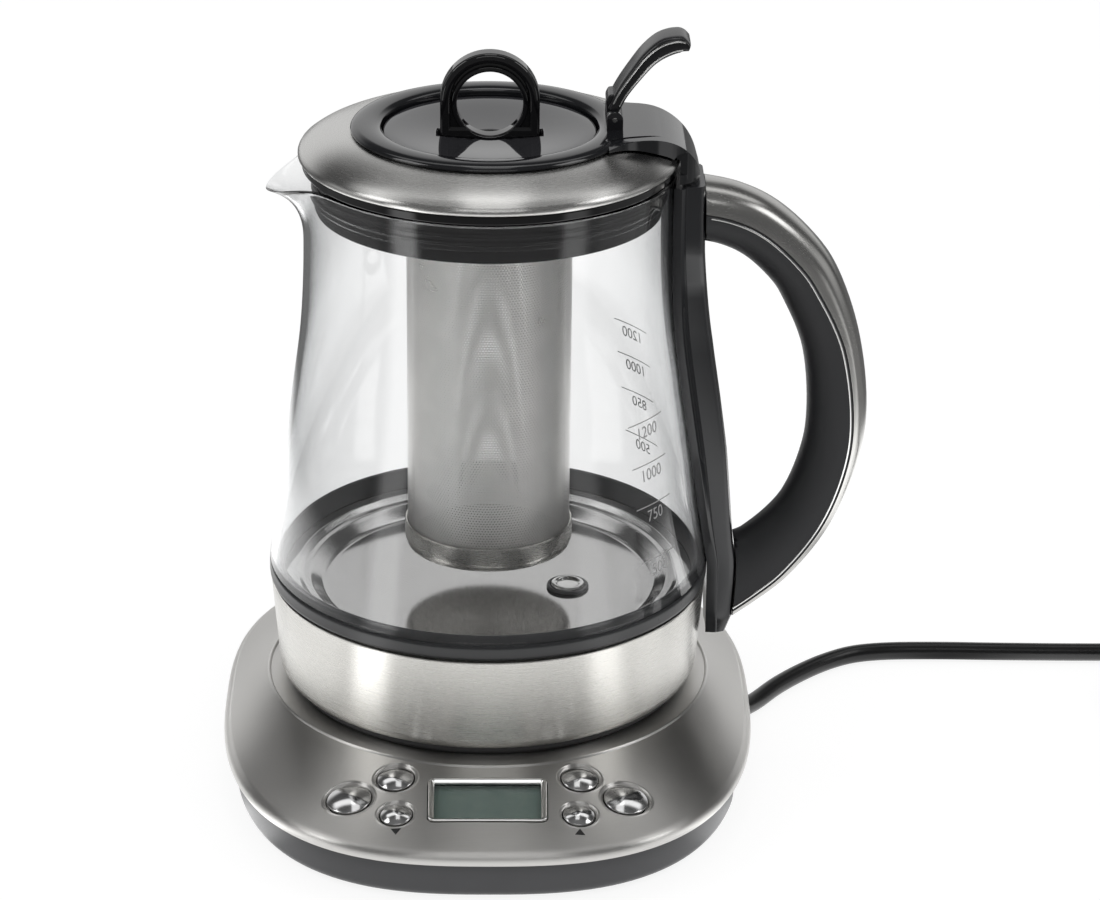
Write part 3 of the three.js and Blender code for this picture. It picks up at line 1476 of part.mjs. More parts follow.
const leverShares = [
  // share of the arm's reach, share of its height, share of its thickness
  [-0.02, 0.087, 0.72],
  [0.093, 0.327, 0.76],
  [0.269, 0.594, 0.88],
  [0.44, 0.811, 1],
  [0.616, 0.945, 1.12],
  [0.813, 1, 1],
  [0.93, 0.965, 0.46],
];
function leverBody() {
  const span = leverTip - pivotX;
  const curve = new THREE.CatmullRomCurve3(
    leverShares.map(
      ([x, z]) => new THREE.Vector3(pivotX + x * span, 0, pivotZ + z * leverArm.height),
    ),
    false,
    "centripetal",
  );
  const halfWidth = lever.width / 2;
  // The section's corners as [across, outward], for half its thickness there
  const section = (thick) => [
    [-halfWidth, -thick / 2],
    [-halfWidth + thick / 2, -thick],
    [halfWidth - thick / 2, -thick],
    [halfWidth, -thick / 2],
    [halfWidth, thick / 2],
    [halfWidth - thick / 2, thick],
    [-halfWidth + thick / 2, thick],
    [-halfWidth, thick / 2],
  ];
  const last = leverShares.length - 1;
  const rings = [];
  for (let i = 0; i <= 2 * last; i++) {
    const row = Math.min(last - 1, Math.floor(i / 2));
    const share = THREE.MathUtils.lerp(leverShares[row][2], leverShares[row + 1][2], i / 2 - row);
    const point = curve.getPoint(i / (2 * last));
    const along = curve.getTangent(i / (2 * last));
    const out = new THREE.Vector3(-along.z, 0, along.x);
    rings.push(
      section((lever.thickness * share) / 2).map(([y, n]) =>
        point.clone().addScaledVector(out, n).add(new THREE.Vector3(0, y, 0)),
      ),
    );
  }
  const caps = section(lever.thickness / 2).map(([x, y]) => new THREE.Vector2(x, y));
  const across = new THREE.Vector3(0, 1, 0);
  const from = new THREE.Vector3(pivotX, -halfWidth, pivotZ);
  const barrel = rod(from, across, lever.barrelR, lever.width, coarse);
  const heel = block(
    lever.barrelR,
    lever.width * 0.7,
    leverArm.heelRise,
    new THREE.Vector3(pivotX - lever.barrelR / 2, 0, pivotZ + leverArm.heelRise / 2),
  );
  const bore = rod(
    from.clone().add(new THREE.Vector3(0, -overrun, 0)),
    across,
    lever.pinR + gap,
    lever.width + 2 * overrun,
    bored,
  );
  const slotR = spring.coilR + spring.wireR + gap;
  const slot = rod(
    new THREE.Vector3(pivotX, -leverArm.slot / 2, pivotZ),
    across,
    slotR,
    leverArm.slot,
    coarse,
  );
  return cut(join(lofted(rings, caps), barrel, heel), bore, slot);
}
add("thumb_lever", leverBody(), slatePlastic);

const pinHalf = lever.width / 2 + gap + leverArm.earT;
const pinBody = rod(
  new THREE.Vector3(pivotX, -pinHalf, pivotZ),
  new THREE.Vector3(0, 1, 0),
  lever.pinR,
  2 * pinHalf,
  bored,
);
add("lever_pin", pinBody, polishedSteel);

function springPoints() {
  const steps = spring.steps * spring.turns;
  return Array.from({ length: steps + 1 }, (unused, i) => {
    const angle = (2 * Math.PI * spring.turns * i) / steps;
    return new THREE.Vector3(
      pivotX + spring.coilR * Math.cos(angle),
      (i / steps - 0.5) * spring.turns * spring.pitch,
      pivotZ + spring.coilR * Math.sin(angle),
    );
  });
}
add("lever_spring", wound(springPoints(), spring.wireR, thin), polishedSteel);

// Strainer: thin tube, collar that hangs in the lid's well, closed base

const tubeTop = collarTop - gap;
const tubeFoot = tubeTop - strainer.length;
const tubeProfile = [
  [strainer.radius - strainer.wall, tubeFoot],
  [strainer.radius, tubeFoot],
  [strainer.radius, tubeTop],
  [strainer.radius - strainer.wall, tubeTop],
];
add("strainer_tube", turned(tubeProfile), polishedSteel);

const collarFoot = ledgeZ + gap;
const skirtFoot = collarTop - collar.skirtH;
const collarProfile = [
  [strainer.radius + gap, skirtFoot],
  [collarR, skirtFoot],
  [collarR, collarFoot],
  [collarFlangeR, collarFoot],
  [collarFlangeR, collarTop],
  [strainer.radius + gap, collarTop],
];
add("strainer_collar", turned(collarProfile), polishedSteel);

const cupInner = strainer.radius + gap;
const cupFoot = tubeFoot - gap - strainer.wall;
const cupProfile = [
  [0, cupFoot],
  [cupR - strainer.baseRound, cupFoot],
  [cupR - strainer.baseRound / 4, cupFoot + strainer.baseRound / 4],
  [cupR, cupFoot + strainer.baseRound],
  [cupR, cupFoot + strainer.baseH],
  [cupInner, cupFoot + strainer.baseH],
  [cupInner, tubeFoot - gap],
  [0, tubeFoot - gap],
];
add("strainer_base", turned(cupProfile), polishedSteel);

// Cap of the strainer: disc with a plug below, finger loop on top, ring seal

const plugFoot = capFoot - cap.plugDepth;
const discUnder = capFoot + cap.seatT;
const capProfile = [
  [capPlugR - cap.plugWall, plugFoot],
  [capPlugR, plugFoot],
  [capPlugR, discUnder],
  [capSeatR - cap.seatT, discUnder],
  [capSeatR - cap.seatT, capFoot],
  [capSeatR, capFoot],
  [capSeatR, discUnder],
  [capR, discUnder],
  [capR, capTop - cap.thickness / 8],
  [capR - cap.thickness / 8, capTop],
  ...capShares.map(([out, deep]) => [capR * out, capTop - cap.hollow * deep]),
  [0, discUnder],
  [capPlugR - cap.plugWall, discUnder],
];
const slotSolid = block(
  2 * loop.halfWidth + 2 * gap,
  loop.width + 2 * gap,
  2 * loopTrim.fit,
  new THREE.Vector3(0, 0, capTop),
);
add("cap_disc", cut(turned(capProfile), slotSolid), slatePlastic);

function archShape(half, centre, foot) {
  const shape = new THREE.Shape();
  shape.moveTo(-half, foot);
  shape.lineTo(half, foot);
  shape.lineTo(half, centre);
  shape.absarc(0, centre, half, 0, Math.PI);
  shape.lineTo(-half, foot);
  return shape;
}
// An upright plate in the XZ plane, centred on Y.
function upright(shape, width, options = {}) {
  const depth = width - 2 * (options.bevelEnabled ? options.bevelThickness : 0);
  const settings = { depth, bevelEnabled: false, curveSegments: slim, ...options };
  return solid(new THREE.ExtrudeGeometry(shape, settings).translate(0, 0, -depth / 2).rotateX(Math.PI / 2));
}
function loopBody() {
  const { halfWidth, holeR, rise, centreRise, width, web, bar } = loop;
  const { bevel, collarWall, collarWidth, fit } = loopTrim;
  const centre = capTop + rise - halfWidth;
  const hole = capTop + centreRise;
  const loopFoot = capTop - fit + gap;
  const outer = archShape(halfWidth - bevel, centre, loopFoot + bevel);
  outer.holes.push(archShape(halfWidth - bar + bevel, centre, capTop + bar));
  const frame = upright(outer, width, {
    bevelEnabled: true,
    bevelThickness: bevel,
    bevelSize: bevel,
    bevelSegments: 1,
  });
  const webPlate = upright(archShape(halfWidth - bar / 2, centre, loopFoot + bevel), web);
  const hub = (radius, thickness) =>
    rod(
      new THREE.Vector3(0, -thickness / 2, hole),
      new THREE.Vector3(0, 1, 0),
      radius,
      thickness,
      medium,
    );
  const below = block(4 * halfWidth, 2 * width, 2 * fit, new THREE.Vector3(0, 0, loopFoot - fit));
  const whole = join(frame, webPlate, hub(holeR + collarWall, collarWidth));
  return cut(whole, hub(holeR, width * 2), below);
}
add("cap_loop", loopBody(), glossyBlack);

const capSealZ = capFoot - cap.plugDepth / 2;
const capSealProfile = [
  [capPlugR + gap, capSealZ - capSeal.height / 2],
  [capPlugR + gap + capSeal.wall, capSealZ - capSeal.height / 2],
  [capPlugR + gap + capSeal.wall, capSealZ + capSeal.height / 2],
  [capPlugR + gap, capSealZ + capSeal.height / 2],
];
add("cap_seal", turned(capSealProfile), silicone);

// The origin: middle of the footprint of the object without its cord, on the table
group.position.set((baseHalf - handleReach) / 2, (baseFront - baseRear) / 2, 0);

export default group;
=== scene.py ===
# Looks of the automatic tea maker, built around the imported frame.
# Sizes are millimetres from the jug's upright axis, and at() turns them into metres in the frame.
from math import asin, atan2, copysign, cos, exp, hypot, pi, radians, sin, sqrt

import bmesh
import bpy
from mathutils import Matrix, Vector


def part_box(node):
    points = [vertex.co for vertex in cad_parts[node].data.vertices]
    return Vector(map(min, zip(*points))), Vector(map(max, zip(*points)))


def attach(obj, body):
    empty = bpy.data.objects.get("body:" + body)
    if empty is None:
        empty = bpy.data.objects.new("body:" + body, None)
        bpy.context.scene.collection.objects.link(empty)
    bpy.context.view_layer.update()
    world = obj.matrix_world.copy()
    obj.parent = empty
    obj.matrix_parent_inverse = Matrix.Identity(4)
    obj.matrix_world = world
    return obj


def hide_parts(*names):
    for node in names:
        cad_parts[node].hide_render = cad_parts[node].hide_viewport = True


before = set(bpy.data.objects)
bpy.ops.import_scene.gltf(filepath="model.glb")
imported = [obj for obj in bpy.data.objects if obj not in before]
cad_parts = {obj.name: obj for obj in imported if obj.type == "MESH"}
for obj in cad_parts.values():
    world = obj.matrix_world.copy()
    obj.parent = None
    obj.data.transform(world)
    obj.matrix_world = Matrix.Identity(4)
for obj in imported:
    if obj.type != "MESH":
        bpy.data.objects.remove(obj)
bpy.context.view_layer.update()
print("frame loaded:", len(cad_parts), "nodes")

mm = 0.001
gap = 0.3  # clearance between pieces
up = Vector((0, 0, 1))
across = Vector((0, 1, 0))


def middleOf(node):
    low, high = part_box(node)
    return (low + high) / 2


jugAxis = middleOf("base_connector")


def at(x, y, z=0):
    return Vector((jugAxis.x + x * mm, jugAxis.y + y * mm, z * mm))


def heights(node):
    low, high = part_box(node)
    return low.z / mm, high.z / mm


def footOf(node):
    return heights(node)[0]


def topOf(node):
    return heights(node)[1]


def mix(a, b, share):
    return a + (b - a) * share


def eased(share):
    share = max(0, min(1, share))
    return share * share * (3 - 2 * share)


def between(stops, place):
    # Straight lines through (place, value) pairs
    for (p0, v0), (p1, v1) in zip(stops, stops[1:]):
        if place <= p1:
            return mix(v0, v1, max(0, (place - p0) / (p1 - p0)))
    return stops[-1][1]


def polar(radius, angle, x=0, y=0):
    return x + radius * cos(angle), y + radius * sin(angle)


def arc(x, y, radius, start, end, steps, tall=None):
    # Points round a middle, from one angle to another in degrees
    turns = [radians(mix(start, end, i / steps)) for i in range(steps + 1)]
    return [(x + radius * cos(turn), y + (tall or radius) * sin(turn)) for turn in turns]


def smoothPath(points, steps):
    # A centripetal Catmull-Rom curve through points, with steps points to a span
    points = [Vector(p) for p in points]
    padded = [2 * points[0] - points[1], *points, 2 * points[-1] - points[-2]]
    made = []
    for p0, p1, p2, p3 in zip(padded, padded[1:], padded[2:], padded[3:]):
        k1 = sqrt((p1 - p0).length)
        k2 = k1 + sqrt((p2 - p1).length)
        k3 = k2 + sqrt((p3 - p2).length)
        for i in range(steps):
            k = mix(k1, k2, i / steps)
            a1 = p0 * ((k1 - k) / k1) + p1 * (k / k1)
            a2 = p1 * ((k2 - k) / (k2 - k1)) + p2 * ((k - k1) / (k2 - k1))
            a3 = p2 * ((k3 - k) / (k3 - k2)) + p3 * ((k - k2) / (k3 - k2))
            b1 = a1 * ((k2 - k) / k2) + a2 * (k / k2)
            b2 = a2 * ((k3 - k) / (k3 - k1)) + a3 * ((k - k1) / (k3 - k1))
            made.append(b1 * ((k2 - k) / (k2 - k1)) + b2 * ((k - k1) / (k2 - k1)))
    made.append(points[-1])
    return made


def outwards(path):
    # Directions square to a flat path, on its left
    made = []
    for behind, ahead in zip(path[:1] + path, path[1:] + path[-1:]):
        along = (ahead - behind).normalized()
        made.append(Vector((-along.y, along.x)))
    return made


# Camera, where the photograph was taken from

camera = {
    "place": (0.06, -1183.5, 626.3),
    # degrees: turn about the upright, tilt up from straight down, roll about the view
    "angles": ((-1.049, "Z"), (66.605, "X"), (0.613, "Z")),
    "lens": 118.9,
    "sensor": 36,
    "reach": (0.05, 50),
}


def makeCamera():
    turn, tilt, roll = [Matrix.Rotation(radians(angle), 4, axis) for angle, axis in camera["angles"]]
    bpy.ops.object.camera_add(location=at(*camera["place"]), rotation=(turn @ tilt @ roll).to_euler())
    made = bpy.context.object
    made.data.lens = camera["lens"]
    made.data.sensor_width = camera["sensor"]
    made.data.clip_start, made.data.clip_end = camera["reach"]
    bpy.context.scene.camera = made


makeCamera()


# Modelling steps that every piece shares


def clearPick():
    if bpy.context.object and bpy.context.object.mode != "OBJECT":
        bpy.ops.object.mode_set(mode="OBJECT")
    bpy.ops.object.select_all(action="DESELECT")


def pick(piece):
    clearPick()
    piece.select_set(True)
    bpy.context.view_layer.objects.active = piece


def named(piece, name):
    piece.name = name
    piece.data.name = name
    return piece


def startRing(name, count, radius):
    # A ring of corners, open in edit mode
    clearPick()
    bpy.ops.mesh.primitive_circle_add(vertices=count, radius=radius * mm)
    piece = named(bpy.context.object, name)
    bpy.ops.object.mode_set(mode="EDIT")
    return piece


def applied(piece, kind, **settings):
    pick(piece)
    modifier = piece.modifiers.new(kind.lower(), kind)
    for name, value in settings.items():
        setattr(modifier, name, value)
    bpy.ops.object.modifier_apply(modifier=modifier.name)
    return piece


def rounded(piece, width, segments=3, angle=28):
    bevel = {"width": width * mm, "segments": segments, "use_clamp_overlap": True}
    return applied(piece, "BEVEL", limit_method="ANGLE", angle_limit=radians(angle), **bevel)


def smoothed(piece, angle=38):
    # Smooth shading that leaves broad faces flat
    pick(piece)
    bpy.ops.object.shade_smooth_by_angle(angle=radians(angle))
    return applied(piece, "WEIGHTED_NORMAL", keep_sharp=True)


def closeMesh(piece, edge, segments):
    bpy.ops.mesh.select_all(action="SELECT")
    bpy.ops.mesh.remove_doubles(threshold=0.002 * mm)
    bpy.ops.mesh.delete_loose(use_verts=True, use_edges=True, use_faces=False)
    bpy.ops.mesh.select_all(action="SELECT")
    bpy.ops.mesh.normals_make_consistent(inside=False)
    bpy.ops.object.mode_set(mode="OBJECT")
    if edge:
        rounded(piece, edge, segments)
    return smoothed(piece)


def turned(name, profile, steps=128, middle=(0, 0), edge=0, segments=3):
    # A closed outline of (radius, height) pairs spun about an upright axis
    piece = startRing(name, len(profile), profile[1][0] + 1)
    mesh = bmesh.from_edit_mesh(piece.data)
    for corner, (radius, height) in zip(mesh.verts, profile):
        corner.co = at(middle[0] + radius, middle[1], height)
    bmesh.update_edit_mesh(piece.data)
    bpy.ops.mesh.select_all(action="SELECT")
    bpy.ops.mesh.spin(steps=steps, angle=2 * pi, center=at(*middle), axis=up)
    return closeMesh(piece, edge, segments)


def lofted(name, rings, closed=False, edge=0, segments=3):
    # Rings of points in metres, each extruded from the one before
    count = len(rings[0])
    piece = startRing(name, count, 10)
    mesh = bmesh.from_edit_mesh(piece.data)
    order = mesh.verts.layers.int.new("order")
    mesh.verts.ensure_lookup_table()
    for i in range(count):
        mesh.verts[i][order] = i
        mesh.verts[i].co = rings[0][i]
    bmesh.update_edit_mesh(piece.data)
    bpy.ops.mesh.select_all(action="SELECT")
    for ring in rings[1:]:
        bpy.ops.mesh.extrude_region_move()
        mesh = bmesh.from_edit_mesh(piece.data)
        order = mesh.verts.layers.int["order"]
        mesh.verts.ensure_lookup_table()
        for corner in mesh.verts[-count:]:
            corner.co = ring[corner[order]]
    mesh.select_mode = {"VERT"}
    if not closed:
        bmesh.update_edit_mesh(piece.data)
        bpy.ops.mesh.edge_face_add()
        bpy.ops.mesh.select_all(action="DESELECT")
        mesh = bmesh.from_edit_mesh(piece.data)
        mesh.verts.ensure_lookup_table()
    for corner in mesh.verts[:count]:
        corner.select = True
    mesh.select_flush(True)
    bmesh.update_edit_mesh(piece.data)
    if closed:
        bpy.ops.mesh.bridge_edge_loops()
    else:
        bpy.ops.mesh.edge_face_add()
    return closeMesh(piece, edge, segments)


def joined(name, *pieces):
    pick(pieces[0])
    for other in pieces[1:]:
        other.select_set(True)
    bpy.ops.object.join()
    return named(pieces[0], name)


def moved(piece, matrix):
    # Places a piece that was made round the origin, leaving its object unturned there
    piece.matrix_world = matrix
    pick(piece)
    bpy.ops.object.transform_apply(location=True, rotation=True, scale=True)
    return piece


def shifted(piece, place):
    return moved(piece, Matrix.Translation(place))


def stood(piece, place, direction):
    # Stands a piece that was made along the Z axis on a place, pointing in a direction
    turn = up.rotation_difference(Vector(direction)).to_matrix().to_4x4()
    return moved(piece, Matrix.Translation(place) @ turn)


def turnedAlong(name, profile, steps, edge=0, segments=3):
    # Turned about the frame's own Z axis at the origin, to be placed afterwards
    return shifted(turned(name, profile, steps, edge=edge, segments=segments), -at(0, 0))


def cutFrom(piece, *cutters, smooth=0, operation="DIFFERENCE"):
    # Smooths again, up to an angle in degrees, where one is given
    cutter = joined("cutter", *cutters)
    applied(piece, "BOOLEAN", object=cutter, operation=operation, solver="EXACT")
    bpy.data.objects.remove(cutter)
    return smoothed(piece, smooth) if smooth else piece


def block(size, turn=0):
    # A box round the origin, turned about Z by degrees
    clearPick()
    bpy.ops.mesh.primitive_cube_add(size=mm, scale=size, rotation=(0, 0, radians(turn)))
    bpy.ops.object.transform_apply()
    return bpy.context.object


def rod(name, start, direction, radius, length, sides=48, edge=0):
    # A round bar from a point in metres towards a direction
    clearPick()
    size = {"radius": radius * mm, "depth": length * mm}
    bpy.ops.mesh.primitive_cylinder_add(vertices=sides, location=(0, 0, length * mm / 2), **size)
    piece = bpy.context.object
    piece.name = name
    bpy.ops.object.transform_apply()
    stood(piece, start, direction)
    return rounded(piece, edge) if edge else piece


def startCurve(name, radius, roundness, kind):
    curve = bpy.data.curves.new(name, "CURVE")
    curve.dimensions = "3D"
    curve.bevel_depth = radius * mm
    curve.bevel_resolution = roundness
    curve.use_fill_caps = True
    piece = bpy.data.objects.new(name, curve)
    bpy.context.scene.collection.objects.link(piece)
    return piece, curve.splines.new(kind)


def wire(name, points, radius):
    # A thin round wire through points in metres
    piece, spline = startCurve(name, radius, 2, "POLY")
    spline.points.add(len(points) - 1)
    for knot, point in zip(spline.points, points):
        knot.co = (*point, 1)
    pick(piece)
    bpy.ops.object.convert(target="MESH")
    return smoothed(bpy.context.object, 60)


def roundRect(width, height, corner, steps=8):
    # Outline of a rounded rectangle round the origin, as (x, y) pairs
    made = []
    for sideX, sideY, start in [(1, 1, 0), (-1, 1, 90), (-1, -1, 180), (1, -1, 270)]:
        x, y = sideX * (width / 2 - corner), sideY * (height / 2 - corner)
        made += arc(x, y, corner, start, start + 90, steps)
    return made


def dressed(piece, finish, slot, body, *nodes):
    # Gives a piece its finish, and says what it stands for and what it moves with
    piece.data.materials.clear()
    piece.data.materials.append(finish.material)
    if nodes:
        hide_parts(*nodes)
    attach(piece, body)
    return piece


def makeScrew(name, body, place, direction, size):
    # A pan head with a cross recess, and its shank running along the direction
    radius, tall, reach = size
    profile = [(0, -0.2), (radius * 0.7, 0), (radius, tall * 0.5), (radius, tall), (1.3, tall)]
    profile += [(1.3, reach), (0, reach)]
    screw = turnedAlong(name + "_steel", profile, 40, edge=0.2, segments=2)
    for turn in (20, 110):
        cutFrom(screw, block((radius * 1.2, 0.7, 1.5), turn))
    stood(smoothed(screw, 30), place, direction)
    dressed(screw, screwSteel, "screw_steel", body, name)


# Shader maths on sockets


class Wire:
    def __init__(self, finish, socket):
        self.finish = finish
        self.socket = socket

    def maths(self, operation, *values):
        return self.finish.add("Math", {"operation": operation}, values)

    def __gt__(self, other):
        return self.maths("GREATER_THAN", self, other)

    def __lt__(self, other):
        return self.maths("LESS_THAN", self, other)

    def __abs__(self):
        return self.maths("ABSOLUTE", self)

    def part(self):
        return self.maths("FRACT", self)

    def root(self):
        return self.maths("SQRT", self)

    def step(self, low, high):
        # 0 below low, 1 above high, eased between
        values = {"Value": self, "From Min": low, "From Max": high}
        return self.finish.add("MapRange", {"interpolation_type": "SMOOTHSTEP"}, values)


def asSign(operation, swapped):
    def sign(self, other):
        return self.maths(operation, *((other, self) if swapped else (self, other)))

    return sign


for signName, operation in {"add": "ADD", "sub": "SUBTRACT", "mul": "MULTIPLY", "truediv": "DIVIDE"}.items():
    setattr(Wire, f"__{signName}__", asSign(operation, False))
    setattr(Wire, f"__r{signName}__", asSign(operation, True))


class Finish:
    def __init__(self, name, colour, roughness, metallic=0, **sockets):
        self.material = bpy.data.materials.new(name)
        self.material.use_nodes = True
        self.tree = self.material.node_tree
        self.shader = self.tree.nodes["Principled BSDF"]
        self.colour = colour
        self.set("Base Color", (*colour, 1))
        self.set("Roughness", roughness)
        self.set("Metallic", metallic)
        for socket, value in sockets.items():
            self.set(socket.replace("_", " "), value)

    def plug(self, value, socket):
        if isinstance(value, Wire):
            self.tree.links.new(value.socket, socket)
        else:
            socket.default_value = value

    def set(self, socket, value):
        self.plug(value, self.shader.inputs[socket])

    def add(self, kind, settings=None, values=(), out=0):
        node = self.tree.nodes.new("ShaderNode" + kind)
        for name, value in (settings or {}).items():
            setattr(node, name, value)
        pairs = values.items() if isinstance(values, dict) else enumerate(values)
        for socket, value in pairs:
            self.plug(value, node.inputs[socket])
        return Wire(self, node.outputs[out])

    def place(self, middle=(0, 0, 0)):
        # Object coordinates in millimetres, from a point in the jug's frame
        seen = self.add("TexCoord", out="Object")
        values = {"Vector": seen, "Scale": (1 / mm,) * 3, "Location": -at(*middle) / mm}
        return self.add("Mapping", {}, values)

    def split(self, vector):
        node = self.add("SeparateXYZ", {}, [vector]).socket.node
        return [Wire(self, node.outputs[i]) for i in range(3)]

    def vector(self, x, y, z):
        return self.add("CombineXYZ", {}, [x, y, z])

    def around(self):
        # Radius, angle and height about the jug's axis
        x, y, z = self.split(self.place())
        radius = (x * x + y * y).root()
        return radius, y.maths("ARCTAN2", y, x), z

    def noise(self, vector, scale, detail=2, roughness=0.5):
        values = {"Vector": vector, "Scale": scale, "Detail": detail, "Roughness": roughness}
        return self.add("TexNoise", {}, values)

    def rays(self):
        # 1 where the camera looks straight at a place or through glass, then 1 where it is mirrored
        path = self.add("LightPath").socket.node
        names = ("Is Camera Ray", "Is Transmission Ray")
        camera, through = (Wire(self, path.outputs[name]) for name in names)
        mirrored = Wire(self, path.outputs["Glossy Depth"]) > 0.5
        lighting = Wire(self, path.outputs["Diffuse Depth"]) > 0.5
        seen = camera.maths("MAXIMUM", camera, through) * (1 - mirrored) * (1 - lighting)
        return seen, mirrored * (1 - lighting)

    def bump(self, height, distance, strength=1):
        values = {"Height": height, "Distance": distance * mm, "Strength": strength}
        self.set("Normal", self.add("Bump", {}, values))

    def blend(self, share, first, second):
        # Mixes two colours; the sockets of the colour mode are numbers 6 and 7
        values = {0: share, 6: (*first, 1), 7: (*second, 1)}
        node = self.add("Mix", {"data_type": "RGBA"}, values).socket.node
        return Wire(self, node.outputs[2])

    def tinted(self, share, darker=0.8, lighter=1.1):
        low, high = ([c * by for c in self.colour] for by in (darker, lighter))
        self.set("Base Color", self.blend(share, low, high))


def brushed(name, colour, roughness, across, scratch=0.02, drawn=0.85):
    # Satin steel: fine lines that run round the axis, round the handle's loop, or along X
    made = Finish(name, colour, roughness, 1)
    if across != "loop":
        made.set("Anisotropic", drawn)
        made.set("Anisotropic Rotation", 0.25)
    if across == "round":
        radius, angle, z = made.around()
        lines = made.vector(radius * 5, angle * 9, z * 5)
    elif across == "loop":
        x, y, z = made.split(made.place((80, 0, 135)))
        angle = z.maths("ARCTAN2", z, x)
        lines = made.vector((x * x + z * z).root() * 5, angle * 6, y * 5)
    else:
        x, y, z = made.split(made.place())
        lines = made.vector(x * 0.07, y * 5, z * 5)
    grain = made.noise(lines, 1, 3, 0.6)
    wear = made.noise(made.place(), 0.05, 2)
    made.tinted(grain * 0.6 + wear * 0.4, 0.88, 1.1)
    made.set("Roughness", grain * 0.16 + wear * 0.06 + (roughness - 0.11))
    made.bump(grain, scratch)
    return made


def moulded(name, colour, roughness, grainSize, depth, **sockets):
    # Plastic or rubber with a fine moulded grain
    made = Finish(name, colour, roughness, 0, **sockets)
    spot = made.place()
    grain = made.noise(spot, 1 / grainSize, 2)
    cloud = made.noise(spot, 0.06, 3)
    made.tinted(cloud, 0.86, 1.14)
    made.set("Roughness", grain * 0.1 + cloud * 0.08 + (roughness - 0.09))
    made.bump(grain, depth)
    return made


def polished(name, colour, roughness):
    # Bright metal with faint swirls from polishing
    made = Finish(name, colour, roughness, 1)
    radius, angle, z = made.around()
    swirl = made.noise(made.vector(radius * 2, angle * 6, z * 2), 1, 2)
    cloud = made.noise(made.place(), 0.04, 2)
    made.tinted(cloud, 0.95, 1.04)
    made.set("Roughness", swirl * 0.08 + cloud * 0.05 + (roughness - 0.06))
    made.bump(swirl, 0.004)
    return made


def lacquered(name, colour, roughness):
    # Glossy plastic, with faint unevenness from its mould and a little handling
    made = Finish(name, colour, roughness, Coat_Weight=0.25, Coat_Roughness=0.03)
    spot = made.place()
    cloud = made.noise(spot, 0.05, 3)
    smear = made.noise(spot, 0.4, 2)
    made.tinted(cloud, 0.88, 1.12)
    made.set("Roughness", cloud * 0.05 + smear * 0.03 + (roughness - 0.04))
    made.bump(made.noise(spot, 0.12, 1), 0.02)
    return made


baseSteel = brushed("base_steel", (0.66, 0.65, 0.63), 0.33, "along", 0.008, 0.95)
ringSteel = brushed("turned_steel", (0.66, 0.65, 0.62), 0.27, "round")
domeSteel = brushed("dome_steel", (0.63, 0.625, 0.61), 0.26, "round", 0.004, 0.9)
handleSteel = brushed("handle_steel", (0.5, 0.495, 0.48), 0.24, "loop", 0.008)
dishSteel = polished("dish_steel", (0.58, 0.575, 0.57), 0.1)
brightSteel = polished("bright_steel", (0.72, 0.72, 0.71), 0.12)
screwSteel = polished("screw_steel", (0.6, 0.6, 0.6), 0.25)
buttonChrome = polished("button_chrome", (0.72, 0.72, 0.72), 0.12)
glossBlack = moulded("gloss_black", (0.012, 0.012, 0.013), 0.14, 0.6, 0.002, Coat_Weight=0.3)
loopBlack = lacquered("loop_black", (0.008, 0.008, 0.009), 0.05)
slateGloss = lacquered("ring_slate", (0.012, 0.0125, 0.0145), 0.1)
discSlate = lacquered("disc_slate", (0.034, 0.034, 0.038), 0.05)
leverSlate = moulded("lever_slate", (0.013, 0.0135, 0.015), 0.24, 0.5, 0.002)
lidPlastic = lacquered("lid_plastic", (0.008, 0.008, 0.009), 0.06)
sealBlack = lacquered("seal_black", (0.007, 0.007, 0.0075), 0.2)
markPale = moulded("mark_pale", (0.4, 0.4, 0.41), 0.4, 0.4, 0.001)
markDark = moulded("mark_dark", (0.02, 0.02, 0.02), 0.4, 0.4, 0.001)
slatePlastic = moulded("slate_plastic", (0.03, 0.031, 0.034), 0.22, 0.5, 0.003)
gripPlastic = moulded("grip_plastic", (0.022, 0.0225, 0.025), 0.5, 0.35, 0.03)
greyPlastic = moulded("grey_plastic", (0.12, 0.122, 0.128), 0.36, 0.3, 0.02)
innerPlastic = moulded("inner_plastic", (0.03, 0.03, 0.032), 0.5, 0.4, 0.02)
rubberBlack = moulded("rubber", (0.016, 0.016, 0.016), 0.75, 0.5, 0.04)
cordBlack = moulded("cord_black", (0.005, 0.005, 0.0055), 0.3, 0.8, 0.006)
siliconeGrey = moulded("silicone", (0.04, 0.041, 0.043), 0.3, 0.7, 0.004)
boardGreen = moulded("board_green", (0.02, 0.11, 0.05), 0.4, 1.5, 0.02)
castAluminium = moulded("cast_aluminium", (0.5, 0.5, 0.51), 0.5, 0.5, 0.05)
castAluminium.set("Metallic", 1)
print("finishes made")


# Cord: the free stretch, the coil and the tail are one lead, and its points are those of the frame

cord = {
    "radius": 3.4,
    "lying": 3.55,  # height of its middle on the table
    "exit": (83.03, -2.741, 8.2),
    "heading": (1, 1.43, 0),
    "inside": 4,  # start within the guard
    "straight": 6,
    "route": [
        (91.5, 9.2, 5.6),
        (99.2, 20.4, 3.55),
        (108.2, 33, 3.55),
        (118.4, 44.4, 3.55),
        (128.6, 53.4, 3.55),
        (139, 59.6, 3.55),
        (151, 62.4, 3.55),
        (172, 63.2, 3.55),
        (196, 62.6, 3.55),
        (220, 62.2, 3.55),
        (245, 62.2, 3.55),
        (262, 62.2, 3.55),
    ],
    "leave": 7.1,  # from the coil towards the plug
    "tail": 42,
}
coil = {
    "middle": (281, 18.6),
    "outer": 43.4,
    "pitch": 8.6,
    "layer": 7.6,
    "perLayer": 1.375,  # turns
    "climb": 0.5,
    "perTurn": 24,
}
